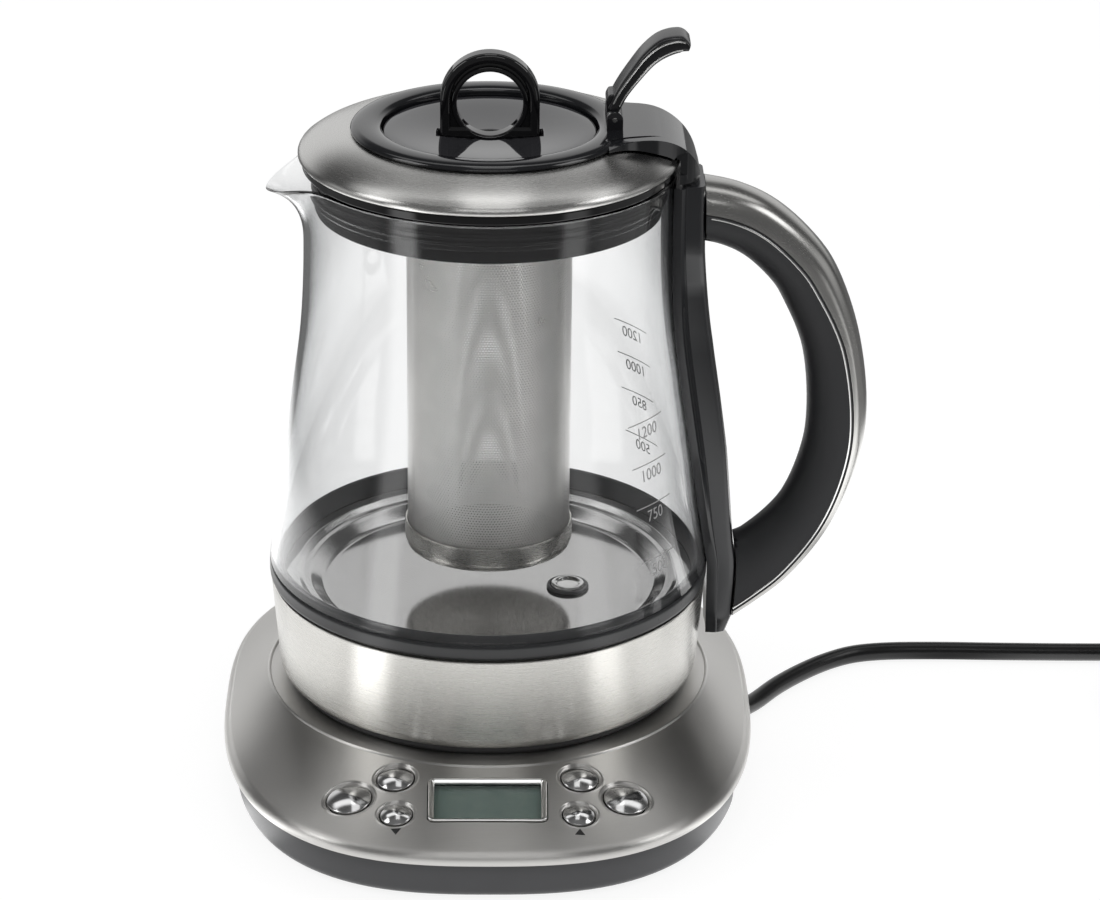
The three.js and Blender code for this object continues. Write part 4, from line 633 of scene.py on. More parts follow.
plug = {
    "start": (324.4, -30.8, 18.65),
    "neck": 4.6,
    "tail": 24,
    "deep": 22,
    "faceR": 18.5,
    "shoulderR": 9.6,
    "ribs": 5,
    "pinR": 2.4,
    "pinLength": 19,
    "pinSpacing": 19,
}


def cordRoute():
    # Points in millimetres from the guard to the plug
    heading = Vector(cord["heading"]).normalized()
    start = Vector(cord["exit"])
    lead = [start - heading * cord["inside"], start, start + heading * cord["straight"]]
    lead += [Vector(point) for point in cord["route"]]
    middle, outer, pitch, layer, perLayer, climb, perTurn = coil.values()
    turns = 2 * perLayer + climb
    count = round(turns * perTurn)
    wound = []
    for i in range(count + 1):
        turn = turns * i / count
        spread = max(0, abs(turn - turns / 2) - climb / 2)
        rise = eased((turn - perLayer) / climb) * layer
        x, y = polar(outer - pitch * (perLayer - spread), pi / 2 - turn * 2 * pi, *middle)
        wound.append(Vector((x, y, cord["lying"] + rise)))
    last = wound[-1] - across * cord["leave"]
    fall = plug["start"][2] - last.z
    tail = [last]
    for share in (0.2, 0.5, 0.8, 1):
        tail.append(last + Vector((0, -cord["tail"] * share, fall * eased((share - 0.1) / 0.8))))
    return lead, wound, tail


def makeCord():
    lead, wound, tail = cordRoute()
    points = smoothPath(lead + wound[:1], 3) + wound[1:-1] + smoothPath(wound[-1:] + tail, 3)
    piece, spline = startCurve("mains_cord", cord["radius"], 6, "BEZIER")
    piece.data.resolution_u = 3
    spline.bezier_points.add(len(points) - 1)
    for knot, point in zip(spline.bezier_points, points):
        knot.co = at(*point)
        knot.handle_left_type = "AUTO"
        knot.handle_right_type = "AUTO"
    dressed(piece, cordBlack, "cord_black", "base", "cord_lead", "cord_coil", "cord_tail")
    length = sum((b - a).length for a, b in zip(points, points[1:])) * mm
    print("cord length", round(length, 3))
    return piece, length


def makePlug():
    start, neck, tail, deep, faceR, shoulderR, ribs, pinR, pinLength, pinSpacing = plug.values()
    end = tail + deep
    profile = [(0, 0), (neck, 0), (neck, tail * 0.18)]
    for i in range(ribs):
        z = mix(0.2, 0.62, i / (ribs - 1)) * tail
        r = mix(neck + 0.4, shoulderR - 1.6, i / (ribs - 1))
        profile += [(r + 0.5, z), (r + 0.6, z + 1.4), (r - 0.3, z + 1.9), (r - 0.3, z + 2.4)]
    profile += [(shoulderR, tail * 0.84), (faceR * 0.8, tail * 0.96), (faceR - 0.8, tail + 1.6)]
    profile += [(faceR, tail + 4), (faceR, end - 3), (faceR - 1.2, end), (0, end)]
    body = turnedAlong("plug_body", profile, 96, edge=0.5)
    grips, pins = [], []
    tip = end + pinLength
    for side in (-1, 1):
        for i in range(3):
            spot = Vector((side * (faceR + 1.1), 0, tail + 6 + i * 5)) * mm
            grips.append(shifted(block((4, 16, 1.6)), spot))
        pin = turnedAlong("plug_pin", [(0, end - 4), (pinR, end - 4), (pinR, tip), (0, tip)], 32, edge=1.3)
        pins.append(shifted(pin, Vector((side * pinSpacing / 2, 0, 0)) * mm))
    cutFrom(body, *grips, smooth=38)
    pins = joined("plug_pins", *pins)
    for piece, finish, slot in ((body, cordBlack, "cord_black"), (pins, screwSteel, "screw_steel")):
        stood(piece, at(*start), (0, -1, 0))
        dressed(piece, finish, slot, "base", "mains_plug")
    return body, pins


mainsCord, cordLength = makeCord()
plugBody, plugPins = makePlug()
at(*cord["exit"])
print("cord and plug made")


# Floor, backdrop light and lamps

studio = {
    "floorSize": 12,
    "floorColour": (0.22, 0.22, 0.22),
    "glow": 0.88,  # of the floor where the camera sees it
    # of the floor in reflections, by its distance and its side
    "floorShine": {"base": 0.04, "close": 0.62, "near": 0.34, "ring": 1.2, "bands": 1.4, "sides": 0.1},
    "sky": 0.42,
    "shine": {"base": 0.08, "front": 0.08, "back": 0.72, "sides": 0.5, "overhead": 1.1},
    "lamps": [
        # name, place and aim in metres, size, power
        ("left_box", (-1.1, -0.2, 1.12), (0, 0, 0.2), (0.5, 0.6), 2.4),
        ("right_box", (1.1, -0.2, 1.12), (0, 0, 0.2), (0.5, 0.6), 2.4),
        ("top_box", (0, 0.1, 1.5), (0, 0, 0.1), (0.4, 0.9), 1),
        ("front_box", (0, -1.08, 1.3), (0, 0, 0.2), (0.95, 0.32), 1.6),
    ],
}


def makeFloor():
    clearPick()
    bpy.ops.mesh.primitive_plane_add(size=studio["floorSize"], location=(0, 0, 0))
    floor = bpy.context.object
    floor.name = "floor"
    bpy.ops.object.mode_set(mode="EDIT")
    bpy.ops.mesh.subdivide(number_cuts=8)
    bpy.ops.object.mode_set(mode="OBJECT")
    pale = Finish("pale_floor", studio["floorColour"], 0.9)
    x, y, z = pale.split(pale.place())
    light = studio["floorShine"]
    away = (x * x + y * y).root()
    aside = abs(x) / away
    near = 1 - away.step(300, 450)
    shine = near * light["near"] + near * away.step(185, 225) * light["ring"]
    shine = shine + (1 - away.step(160, 185)) * light["close"] + light["base"]
    bands = aside.step(0.66, 0.74) * (1 - aside.step(0.82, 0.9)) * (y < 0) * ((x < 0) * 0.5 + 0.5)
    shine = shine + bands * light["bands"] + aside.step(0.9, 0.96) * light["sides"]
    seen, mirrored = pale.rays()
    pale.set("Emission Color", (1, 1, 1, 1))
    pale.set("Emission Strength", seen * studio["glow"] + mirrored * shine)
    floor.data.materials.append(pale.material)


class Backdrop(Finish):
    def __init__(self, name):
        world = bpy.data.worlds.new(name)
        bpy.context.scene.world = world
        world.use_nodes = True
        self.tree = world.node_tree


def makeSky():
    # White where it is seen, even where it lights, and soft boxes round the object where it is mirrored
    sky = Backdrop("studio")
    light = studio["shine"]
    x, y, z = sky.split(sky.add("TexCoord", out="Generated"))
    level = (x * x + y * y).root()
    level = level.maths("MAXIMUM", level, 0.001)
    sides = (abs(x) / level).step(0.9, 0.99) * z.step(-0.05, 0.1) * (1 - z.step(0.3, 0.5))
    front = (y / level * -1).step(-0.3, 0.9)
    middle = 1 - abs(x).step(0.14, 0.24)
    back = (y / level).step(0.5, 0.92) * (1 - (z - middle * 0.2).step(0.32, 0.56))
    strip = y.step(0.1, 0.24) * (1 - y.step(0.4, 0.48))
    overhead = z.step(0.62, 0.74) * strip * (1 - abs(x).step(0.56, 0.66))
    mirrored = sides * light["sides"] + front * light["front"] + back * light["back"]
    mirrored = mirrored + overhead * light["overhead"] + light["base"]
    seen, glossy = sky.rays()
    strength = seen + glossy * mirrored + (1 - seen) * (1 - glossy) * studio["sky"]
    sky.shader = sky.tree.nodes["Background"]
    sky.set("Color", (1, 1, 1, 1))
    sky.set("Strength", strength)


def makeLamps():
    for name, place, aim, size, power in studio["lamps"]:
        clearPick()
        facing = (Vector(aim) - Vector(place)).to_track_quat("-Z", "Y").to_euler()
        bpy.ops.object.light_add(type="AREA", location=place, rotation=facing)
        lamp = bpy.context.object
        lamp.name = name
        lamp.data.shape = "RECTANGLE"
        lamp.data.size, lamp.data.size_y = size
        lamp.data.energy = power


bpy.context.scene.view_settings.view_transform = "Standard"
makeFloor()
makeSky()
makeLamps()
print("studio made")


# Base cover: round plateau, slope and rolled rim, with pressed seats round the buttons

base = {
    "halfWidth": 95,
    "front": 124.6,
    "rear": 105,
    "squareness": 2.65,
    "plateauR": 80,
    "rimTop": 20,
    "rimBottom": 16,
    "rimRound": 2.4,
    "lipHeight": 0.7,
    "lipWidth": 1.3,
    "wall": 1.2,
    "holeR": 20.4,
    "sides": 288,
}
base["height"] = topOf("base_cover") - base["lipHeight"]


def planRadius(angle, inset=0):
    power = base["squareness"]
    c = abs(cos(angle)) / base["halfWidth"]
    s = abs(sin(angle)) / (base["front"] if sin(angle) < 0 else base["rear"])
    return (c**power + s**power) ** (-1 / power) - inset


def slopeZ(angle, radius):
    share = (radius - base["plateauR"]) / (planRadius(angle) - base["plateauR"])
    return base["height"] - max(0, share) * (base["height"] - base["rimTop"])


def coverZ(x, y):
    return slopeZ(atan2(y, x), hypot(x, y))


def planRings(rows, sides):
    # Rows are functions from an angle to (radius, height)
    rings = []
    for row in rows:
        ring = []
        for i in range(sides):
            angle = 2 * pi * i / sides
            radius, height = row(angle)
            ring.append(at(*polar(radius, angle), height))
        rings.append(ring)
    return rings


def flatRow(radius, height):
    return lambda angle: (radius, height)


def slopeRow(share, drop=0):
    def row(angle):
        radius = mix(base["plateauR"], planRadius(angle) - base["rimRound"], share)
        return radius, slopeZ(angle, radius) - drop

    return row


def rimRow(inset, height):
    return lambda angle: (planRadius(angle, inset), height)


def coverRows():
    top, rimTop, foot, roll = (base[name] for name in ("height", "rimTop", "rimBottom", "rimRound"))
    wall, lip, plateau = base["wall"], base["lipWidth"], base["plateauR"]
    rows = [flatRow(base["holeR"], top - wall)]
    rows += [flatRow(radius, top) for radius in (base["holeR"], 21, 40, 60, 74)]
    for i in range(9):
        rise = sin(pi * i / 8) * base["lipHeight"]
        rows.append(flatRow(plateau - lip * (1 - i / 8), top + rise))
    rows += [slopeRow(share) for share in (0.02, 0.05, 0.12, 0.25, 0.4, 0.55, 0.7, 0.82, 0.92, 0.97, 1)]
    rows += [rimRow(roll - x, rimTop + 0.28 - roll + y) for x, y in arc(0, 0, roll, 90, 0, 6)[1:]]
    rows += [rimRow(0, foot + 1.2), rimRow(0.25, foot + 0.5), rimRow(0.6, foot), rimRow(wall, foot)]
    rows += [rimRow(wall, rimTop - roll - wall / 2)]
    rows += [slopeRow(share, wall * 1.1) for share in (0.985, 0.5, 0.02)]
    return rows + [flatRow(plateau - lip, top - wall)]


panel = {
    "tilt": 0.202,  # radians, towards the front
    "middle": -96.2,
    "width": 40.6,
    "height": 22.4,
    "border": 2.1,
    "corner": 2.2,
    "proud": 0.5,
    "deep": 3.2,
    "windowSunk": 0.9,
}
buttons = {
    "boil": (-47.3, -92.5, 7.6),
    "start": (47.3, -92.5, 7.6),
    "time": (-31.6, -83.6, 6.3),
    "mode": (31.6, -83.6, 6.3),
    "down": (-31, -102.4, 5.4),
    "up": (31, -102.4, 5.4),
}
seat = {"side": 0.35, "width": 1.65, "deep": 0.45, "bead": 0.16, "steps": 72}


def surfaceNormal(x, y):
    step = base["wall"]
    slopeX = (coverZ(x + step, y) - coverZ(x - step, y)) / (2 * step)
    slopeY = (coverZ(x, y + step) - coverZ(x, y - step)) / (2 * step)
    return Vector((-slopeX, -slopeY, 1)).normalized()


def panelLoft(name, rows, closed=False):
    # Rows are (grow, height) pairs about the frame's outline, square to the tilted display
    rings = []
    for grow, height in rows:
        corner = max(0.3, panel["corner"] + grow)
        outline = roundRect(panel["width"] + 2 * grow, panel["height"] + 2 * grow, corner)
        rings.append([Vector((x, y, height)) * mm for x, y in outline])
    place = at(0, panel["middle"], coverZ(0, panel["middle"]))
    tilt = Matrix.Rotation(panel["tilt"], 4, "X")
    return moved(lofted(name, rings, closed=closed), Matrix.Translation(place) @ tilt)


def pressedSeat(name, x, y, radius):
    # A ring of sheet that dips to the button's hole, drawn on the cover's own slope
    side, width, deep, bead, steps = seat.values()
    hole, outer = radius + side, radius + width
    stops = [(hole, -2.2), (hole, -deep - 0.5), (hole + 0.12, -deep - 0.12), (hole + 0.35, -deep)]
    stops += [(outer - 0.85, -deep + 0.02), (outer - 0.6, -deep * 0.55), (outer - 0.42, bead * 0.4)]
    stops += [(outer - 0.2, bead), (outer + 0.05, bead * 0.5), (outer + 0.3, 0.012), (outer + 0.45, -0.3)]
    rings = []
    for distance, lift in stops:
        spots = [polar(distance, 2 * pi * i / steps, x, y) for i in range(steps)]
        rings.append([at(px, py, coverZ(px, py) + lift) for px, py in spots])
    return lofted(name, rings, closed=True)


def makeCover():
    cover = lofted("cover", planRings(coverRows(), base["sides"]), closed=True)
    cutters = []
    for x, y, radius in buttons.values():
        start = at(x, y, coverZ(x, y)) - surfaceNormal(x, y) * 6 * mm
        cutters.append(rod("cutter", start, surfaceNormal(x, y), radius + seat["width"] + 0.1, 12, 96))
    cutFrom(cover, *cutters, panelLoft("cutter", [(gap, -6), (gap, 4)]), smooth=30)
    seats = [pressedSeat(name, *spot) for name, spot in buttons.items()]
    dressed(joined("cover", cover, *seats), baseSteel, "brushed_steel", "base", "base_cover")


makeCover()
print("cover made")


# Six domed buttons, each on its own body

buttonShape = {"dome": 2.1, "sunk": 0.5, "flange": 0.9, "stemR": 1.9, "skirt": 3.4, "steps": 24}


def makeButton(name, x, y, radius):
    dome, sunk, flange, stemR, skirt, steps = buttonShape.values()
    upright = surfaceNormal(x, y).z
    reach = (coverZ(x, y) - footOf(name + "_button") - stemR * sqrt(1 - upright**2)) / upright
    skirt = min(skirt, reach - 0.4)
    profile = [(radius * i / steps, dome - sunk - dome * 0.86 * (i / steps) ** 2) for i in range(steps + 1)]
    profile += [(radius, -sunk - 0.2), (radius, -skirt + 0.9), (radius + flange, -skirt + 0.6)]
    profile += [(radius + flange, -skirt), (stemR, -skirt), (stemR, -reach), (0, -reach)]
    piece = turnedAlong(name + "_cap", profile, 96, edge=0.22, segments=2)
    stood(piece, at(x, y, coverZ(x, y)), surfaceNormal(x, y))
    dressed(piece, buttonChrome, "button_chrome", name, name + "_button")


for buttonName, spot in buttons.items():
    makeButton(buttonName, *spot)
print("buttons made")


# Display: bright frame, clear pane and the grey-green panel under it


def displayFinish():
    made = Finish("display_grey", (0.125, 0.2, 0.17), 0.25)
    x, y, z = made.split(made.place((0, panel["middle"], 0)))
    shade = (abs(y + 8.3) * -1 + 1.6).step(0, 1.6)
    # painted shadow: the screen is coloured darker along its top edge, where the frame's shade would fall
    top = (y - 6.2).step(0, 2.6)
    cloud = made.noise(made.place(), 0.12, 3)
    share = 1 - top * 0.7 - shade * 0.08 + cloud * 0.1 - 0.05
    made.set("Base Color", made.blend(share, (0.045, 0.064, 0.059), (0.1, 0.147, 0.134)))
    made.set("Roughness", cloud * 0.1 + 0.2)
    return made


def paneFinish():
    made = Finish("clear_pane", (0.94, 0.97, 0.95), 0.02, Transmission_Weight=1, IOR=1.45)
    made.set("Roughness", made.noise(made.place(), 0.3, 2) * 0.03)
    return made


def makeDisplay():
    border, proud, deep, sunk = (panel[name] for name in ("border", "proud", "deep", "windowSunk"))
    rows = [(0, -deep), (0, proud - 0.4), (-0.12, proud - 0.12), (-0.4, proud), (-0.8, proud)]
    rows += [(-1.15, proud - 0.2), (-border + 0.15, -0.35), (-border, -0.55), (-border, -sunk)]
    rows += [(-border / 2, -sunk), (-border / 2, -deep)]
    bezel = panelLoft("display_bezel", rows, closed=True)
    dressed(bezel, brightSteel, "bright_steel", "base", "display_frame")
    inset = -border / 2 - gap
    top = -sunk - gap
    pane = panelLoft("display_pane", [(inset, top - 1.1), (inset, top - 0.2), (inset - 0.2, top)])
    dressed(pane, paneFinish(), "clear_pane", "base", "display_window")
    pane.visible_shadow = False
    screen = panelLoft("display_screen", [(inset, top - 6.6), (inset, top - 1.5), (inset - 0.1, top - 1.4)])
    dressed(screen, displayFinish(), "display_grey", "base", "lcd_module")


makeDisplay()
print("display made")


# Housing under the cover, its feet, screws and cord guard

housing = {
    "inset": 3.2,
    "guardInset": 11,  # where the cord comes out
    "guardHalf": (0.22, 0.6),  # radians either side of it
    "lean": 1.1,
    "edge": 3.6,
    "wall": 2.4,
    "floor": 2.6,
    "foot": 1.5,
}
feet = {"radius": 8, "height": 3.1, "sideX": 58, "frontY": -80, "rearY": 66}
posts = {"x": 42, "y": 40, "screw": (2.9, 1.4, 14)}
guard = {"length": 26, "rootR": 4.9, "tipR": 4.3, "flangeR": 5.9, "ribs": 6, "ribDepth": 0.55}
guardRoot = at(*cord["exit"]) - Vector(cord["heading"]).normalized() * guard["length"] * mm


def footSpots():
    for row, sides in (("front", (-1, 1)), ("rear", (1, -1))):
        for side in sides:
            name = "left" if side < 0 else "right"
            yield f"foot_{row}_{name}", (side * feet["sideX"], feet[row + "Y"])


def makeHousing():
    inset, guardInset, (near, far), lean, edge, wall, floor, foot = housing.values()
    top = base["rimBottom"] - gap

    def side(depth, z):
        def row(angle):
            turn = abs(atan2(sin(angle), cos(angle)))
            return planRadius(angle, mix(guardInset, inset, eased((turn - near) / (far - near))) + depth), z

        return row

    def leanAt(z):
        return lean * (top - z) / (top - foot)

    rows = [flatRow(radius, foot) for radius in (0, 30, 60)] + [side(lean + edge, foot)]
    rows += [side(leanAt(z) + edge - x, z) for x, z in arc(0, foot + edge, edge, -90, 0, 6)[1:]]
    rows += [side(leanAt(10), 10), side(0.4, top - 0.9), side(0.5, top - 0.2), side(0.8, top)]
    rows += [side(wall, top), side(wall + 0.8, 8), side(wall + 3, foot + floor)]
    rows += [flatRow(60, foot + floor), flatRow(0, foot + floor)]
    tray = lofted("housing", planRings(rows, 192))
    pocket = feet["height"] + 1 + gap
    cutters = []
    for name, spot in footSpots():
        cutters.append(rod("cutter", at(*spot, -1), up, feet["radius"] + gap, pocket, 64))
    for x in (-posts["x"], posts["x"]):
        for y in (-posts["y"], posts["y"]):
            cutters.append(rod("cutter", at(x, y, 0), up, 3.3, 3.2, 32))
    cutters.append(rod("cutter", guardRoot, cord["heading"], guard["rootR"] + gap, 40, 48))
    cutFrom(tray, *cutters, smooth=30)
    dressed(tray, greyPlastic, "grey_plastic", "base", "base_housing")


def makeFeet():
    radius, height = feet["radius"], feet["height"]
    profile = [(0, 0.5), (3, 0.5), (3.5, 0), (radius - 1, 0), (radius - 0.3, 0.4)]
    profile += [(radius, 1.2), (radius, height), (0, height)]
    for name, spot in footSpots():
        pad = turned(name + "_pad", profile, 64, middle=spot, edge=0.3, segments=2)
        dressed(pad, rubberBlack, "rubber", "base", name)


def makeBaseScrews():
    for i, (x, y) in enumerate(((-1, -1), (1, -1), (1, 1), (-1, 1))):
        name = f"base_screw_{i + 1}"
        place = at(x * posts["x"], y * posts["y"], footOf(name) + 0.2)
        makeScrew(name, "base", place, up, posts["screw"])


def makeGuard():
    length, rootR, tipR, flangeR, ribs, ribDepth = guard.values()
    bore = cord["radius"] + 0.1
    profile = [(bore, length - 3), (bore, length), (tipR - 0.3, length), (tipR, length - 0.5)]
    for i in range(ribs):
        z = length * (1 - (i + 1) / (ribs + 2))
        r = mix(rootR, tipR, z / length)
        profile += [(r, z + 0.8), (r - ribDepth, z + 0.5), (r - ribDepth, z - 0.5), (r, z - 0.8)]
    profile += [(rootR, 0), (flangeR, 0), (flangeR, -2), (0, -2), (0, length - 3)]
    piece = turnedAlong("cord_guard", profile, 48, edge=0.2, segments=2)
    dressed(stood(piece, guardRoot, cord["heading"]), rubberBlack, "rubber", "base", "strain_relief")


makeHousing()
makeFeet()
makeBaseScrews()
makeGuard()
print("housing made")


# Jug foot: steel shell, bottom cover, heater dish and its sensor

glass = {
    "footR": 78.2,
    "neckR": 64.2,
    "wall": 2.2,
    "rimRound": 0.9,
    "lipReach": 13.4,
    "lipDroop": 8.6,
    "lipTall": 27,
    "lipHalfAngle": 0.3,  # radians
    "lipOutPower": 2.4,
    "lipDownPower": 2.6,
    "sides": 240,
    "shares": [(0, 0), (0.1, 0.16), (0.28, 0.4), (0.46, 0.68), (0.6, 0.88), (0.74, 0.975), (0.9, 1), (1, 1)],
}
glass["foot"], glass["rim"] = heights("glass_jug")
shell = {"footR": 75.4, "topR": 77.8, "wall": 1, "edge": 4, "flange": 3.6}
stand = {"inner": 64.5, "outer": 70.5, "edgeR": 72.4, "wall": 2, "hole": 25}
dish = {"flangeR": 76, "ledgeInnerR": 66, "ledgeR": 63.6, "stepR": 58.6, "wall": 1, "ledgeDrop": 1.8}
sensor = {"spot": (28.4, -6.8), "radius": 6.1, "stemR": 4.2, "sealWall": 1.2}
jugScrews = {"ring": 50, "angles": (90, 210, 330), "size": (3, 1.1, 12)}


def makeShell():
    footR, topR, wall, edge, flange = shell.values()
    low, high = heights("steel_shell")
    profile = arc(footR - edge, low + edge, edge, -90, 0, 7)
    profile += [(mix(footR, topR, share), mix(low + edge, high - 1, share)) for share in (0.3, 0.65, 1)]
    profile += [(topR - 0.3, high - 0.3), (topR - 1, high), (topR - flange, high)]
    profile += [(topR - flange, high - wall), (topR - 2, high - wall)]
    profile += [(footR - wall, low + edge), (footR - edge, low + wall)]
    dressed(turned("foot_shell", profile, 192), ringSteel, "brushed_steel", "jug", "steel_shell")


def makeBottomCover():
    inner, outer, edgeR, wall, hole = stand.values()
    foot, top = heights("bottom_cover")
    floor = foot + wall
    profile = [(hole, floor), (38, floor), (38.8, floor - 0.6), (41.2, floor - 0.6), (42, floor)]
    profile += [(inner, floor), (inner, foot), (outer, foot), (edgeR, floor), (edgeR, top)]
    profile += [(edgeR - wall, top), (edgeR - wall, floor + wall), (hole, floor + wall)]
    piece = turned("bottom_plate", profile, 160, edge=0.4)
    bores = []
    for i, angle in enumerate(jugScrews["angles"]):
        spot = polar(jugScrews["ring"], radians(angle))
        name = f"bottom_screw_{i + 1}"
        makeScrew(name, "jug", at(*spot, footOf(name) + 0.2), up, jugScrews["size"])
        bores.append(rod("cutter", at(*spot, foot), up, jugScrews["size"][0] + gap, 2.4, 40))
    cutFrom(piece, *bores, smooth=30)
    dressed(piece, innerPlastic, "inner_plastic", "jug", "bottom_cover")


def makeDish():
    flangeR, inner, ledgeR, stepR, wall, drop = dish.values()
    low, top = heights("heater_dish")
    floor, ledge = low + wall, top - drop
    profile = [(0, floor - 1), (stepR + 1, floor - 1), (ledgeR + 1, ledge - 1), (inner + 1, ledge - 1)]
    profile += [(inner + 3.6, top - 1), (flangeR, top - 1), (flangeR, top), (inner + 3, top)]
    profile += [(inner + 2, top - 0.25), (inner + 0.6, ledge + 0.3), (inner - 0.6, ledge)]
    profile += [(ledgeR + 0.8, ledge), (ledgeR, ledge - 0.3), (ledgeR - 1, ledge - 1.3)]
    profile += [(stepR + 1.2, floor + 1), (stepR + 0.4, floor + 0.3), (stepR - 1, floor)]
    profile += [(20, floor - 0.15), (0, floor - 0.2)]
    piece = turned("dish_floor", profile, 192)
    bore = rod("cutter", at(*sensor["spot"], floor - 4), up, sensor["stemR"] + gap, 8, 48)
    cutFrom(piece, bore, smooth=40)
    dressed(piece, dishSteel, "bright_steel", "jug", "heater_dish")
    return floor


def makeSensor(floor):
    spot, r, stem, wall = sensor.values()
    low, high = heights("temperature_sensor")
    profile = [(0, low), (stem, low), (stem, floor + gap), (r, floor + gap), (r, high - 0.8)]
    profile += [(r - 0.4, high - 0.2), (r - 1.1, high), (r - 1.9, high - 0.25), (r - 2.4, high - 0.8)]
    profile += [(r - 3, high - 0.8), (0, high - 0.6)]
    top = turned("sensor_cap", profile, 64, middle=spot)
    dressed(top, brightSteel, "bright_steel", "jug", "temperature_sensor")
    low, high = heights("sensor_seal")
    inner, wide = r + gap, r + gap + wall
    profile = [(inner, low), (wide, low), (wide - 0.3, high), (inner, high)]
    seal = turned("sensor_ring", profile, 64, middle=spot, edge=0.2)
    dressed(seal, siliconeGrey, "silicone", "jug", "sensor_seal")


makeShell()
makeBottomCover()
makeSensor(makeDish())
print("jug foot made")


# The 360 degree connector: socket in the base, loose sleeve, plug half in the jug

connector = {
    "radius": 17,
    "flangeR": 20,
    "flangeH": 2.4,
    "trenchInner": 7.8,
    "trenchOuter": 11,
    "trenchDeep": 8.4,
    "holeR": 3.4,
    "holeDeep": 10,
    "chamfer": 1.2,
}
plugHalf = {"inner": 20.3, "outer": 23.5, "ceiling": 9, "pinR": 2, "bladeR": 9.4, "bladeWall": 1.4}


def makeConnector():
    radius, flangeR, flangeH, trenchIn, trenchOut, deep, holeR, holeDeep, chamfer = connector.values()
    foot, top = heights("base_connector")
    profile = [(0, foot), (flangeR, foot), (flangeR, foot + flangeH), (radius, foot + flangeH)]
    profile += [(radius, top - chamfer), (radius - chamfer, top), (trenchOut + 1.4, top)]
    profile += [(trenchOut, top - 0.7), (trenchOut, top - deep), (trenchIn, top - deep)]
    profile += [(trenchIn, top - 0.7), (trenchIn - 0.7, top), (holeR + 0.8, top), (holeR, top - 0.8)]
    profile += [(holeR, top - holeDeep), (0, top - holeDeep)]
    socket = turned("power_socket", profile, 96, edge=0.25)
    dressed(socket, glossBlack, "gloss_black", "base", "base_connector")
    low, high = heights("socket_sleeve")
    inner, outer = radius + gap, radius + gap + 2.4
    profile = [(inner, low), (outer, low), (outer, high - 1.6), (outer - 0.5, high - 1.3)]
    profile += [(outer - 0.5, high), (inner, high)]
    sleeve = turned("turning_sleeve", profile, 96, edge=0.25)
    dressed(sleeve, innerPlastic, "inner_plastic", "sleeve", "socket_sleeve")


def makePlugHalf():
    bore, tube, ceiling, pinR, bladeR, bladeWall = plugHalf.values()
    foot, high = heights("jug_connector")
    ceiling += base["height"]
    floor = footOf("bottom_cover") + stand["wall"]
    flange = floor + stand["wall"] + gap
    inner, outer = bladeR - bladeWall / 2, bladeR + bladeWall / 2
    profile = [(0, foot), (pinR, foot), (pinR, ceiling), (inner, ceiling), (inner, foot), (outer, foot)]
    profile += [(outer, ceiling), (bore, ceiling), (bore, floor), (tube, floor), (tube, flange)]
    profile += [(tube + 7, flange), (tube + 7, flange + 2), (tube, flange + 2), (tube, ceiling + 2)]
    profile += [(outer, high), (0, high)]
    piece = turned("plug_half", profile, 96, edge=0.3)
    dressed(piece, glossBlack, "gloss_black", "jug", "jug_connector")


makeConnector()
makePlugHalf()
print("connector made")


# Glass with its pouring lip, the volume scale on it, and the ring it stands in

glassPath = [
    (mix(glass["foot"], glass["rim"], high), mix(glass["footR"], glass["neckR"], narrow))
    for high, narrow in glass["shares"]
]
glassOutline = [tuple(point) for point in smoothPath(glassPath, 6)]


def glassRadius(z):
    return between(glassOutline, max(glass["foot"], min(glass["rim"], z)))


def makeGlass():
    g = glass
    foot, rim, wall, lipTall = g["foot"], g["rim"], g["wall"], g["lipTall"]
    lipFrom = rim - lipTall

    def drawn(radius, z):
        def row(angle):
            turn = atan2(sin(angle - pi), cos(angle - pi))
            near = exp(-((turn / g["lipHalfAngle"]) ** 2))
            high = max(0, min(1, (z - lipFrom) / lipTall))
            out = g["lipReach"] * near * high ** g["lipOutPower"]
            return radius + out, z - g["lipDroop"] * near * high ** g["lipDownPower"]

        return row

    rimFoot = rim - g["rimRound"]
    levels = [foot + 0.7] + [z for z, radius in glassOutline if foot + 2 < z < lipFrom]
    levels += [lipFrom + lipTall * i / 14 for i in range(14)] + [rimFoot]
    rows = [drawn(glassRadius(z), z) for z in levels]
    bead = arc(g["neckR"] - wall / 2, rimFoot, wall / 2, 30, 150, 4, g["rimRound"])
    rows += [drawn(*spot) for spot in bead]
    rows += [drawn(glassRadius(z) - wall, z) for z in reversed(levels)]
    rows += [drawn(g["footR"] - wall + 0.6, foot), drawn(g["footR"] - 0.6, foot)]
    body = lofted("glass_body", planRings(rows, g["sides"]), closed=True)
    clear = Finish("clear_glass", (0.97, 0.98, 0.98), 0.0, Transmission_Weight=1, IOR=1.46)
    waves = clear.noise(clear.place(), 0.03, 1)
    # painted shade: the glass is coloured darker where it is seen edge-on, with faint waves in how much
    facing = clear.add("LayerWeight", {}, {"Blend": 0.23}, out=1) * (waves * 0.3 + 0.85)
    clear.set("Base Color", clear.blend(facing, (0.995, 0.996, 0.996), (0.45, 0.47, 0.48)))
    clear.bump(waves, 0.2, 0.3)
    dressed(body, clear, "clear_glass", "jug", "glass_jug")
    body.visible_shadow = False


gasket = {"outerR": 78.3, "innerR": 72.8, "skirt": 0.7, "lipR": 75.4, "lipWall": 1.7}


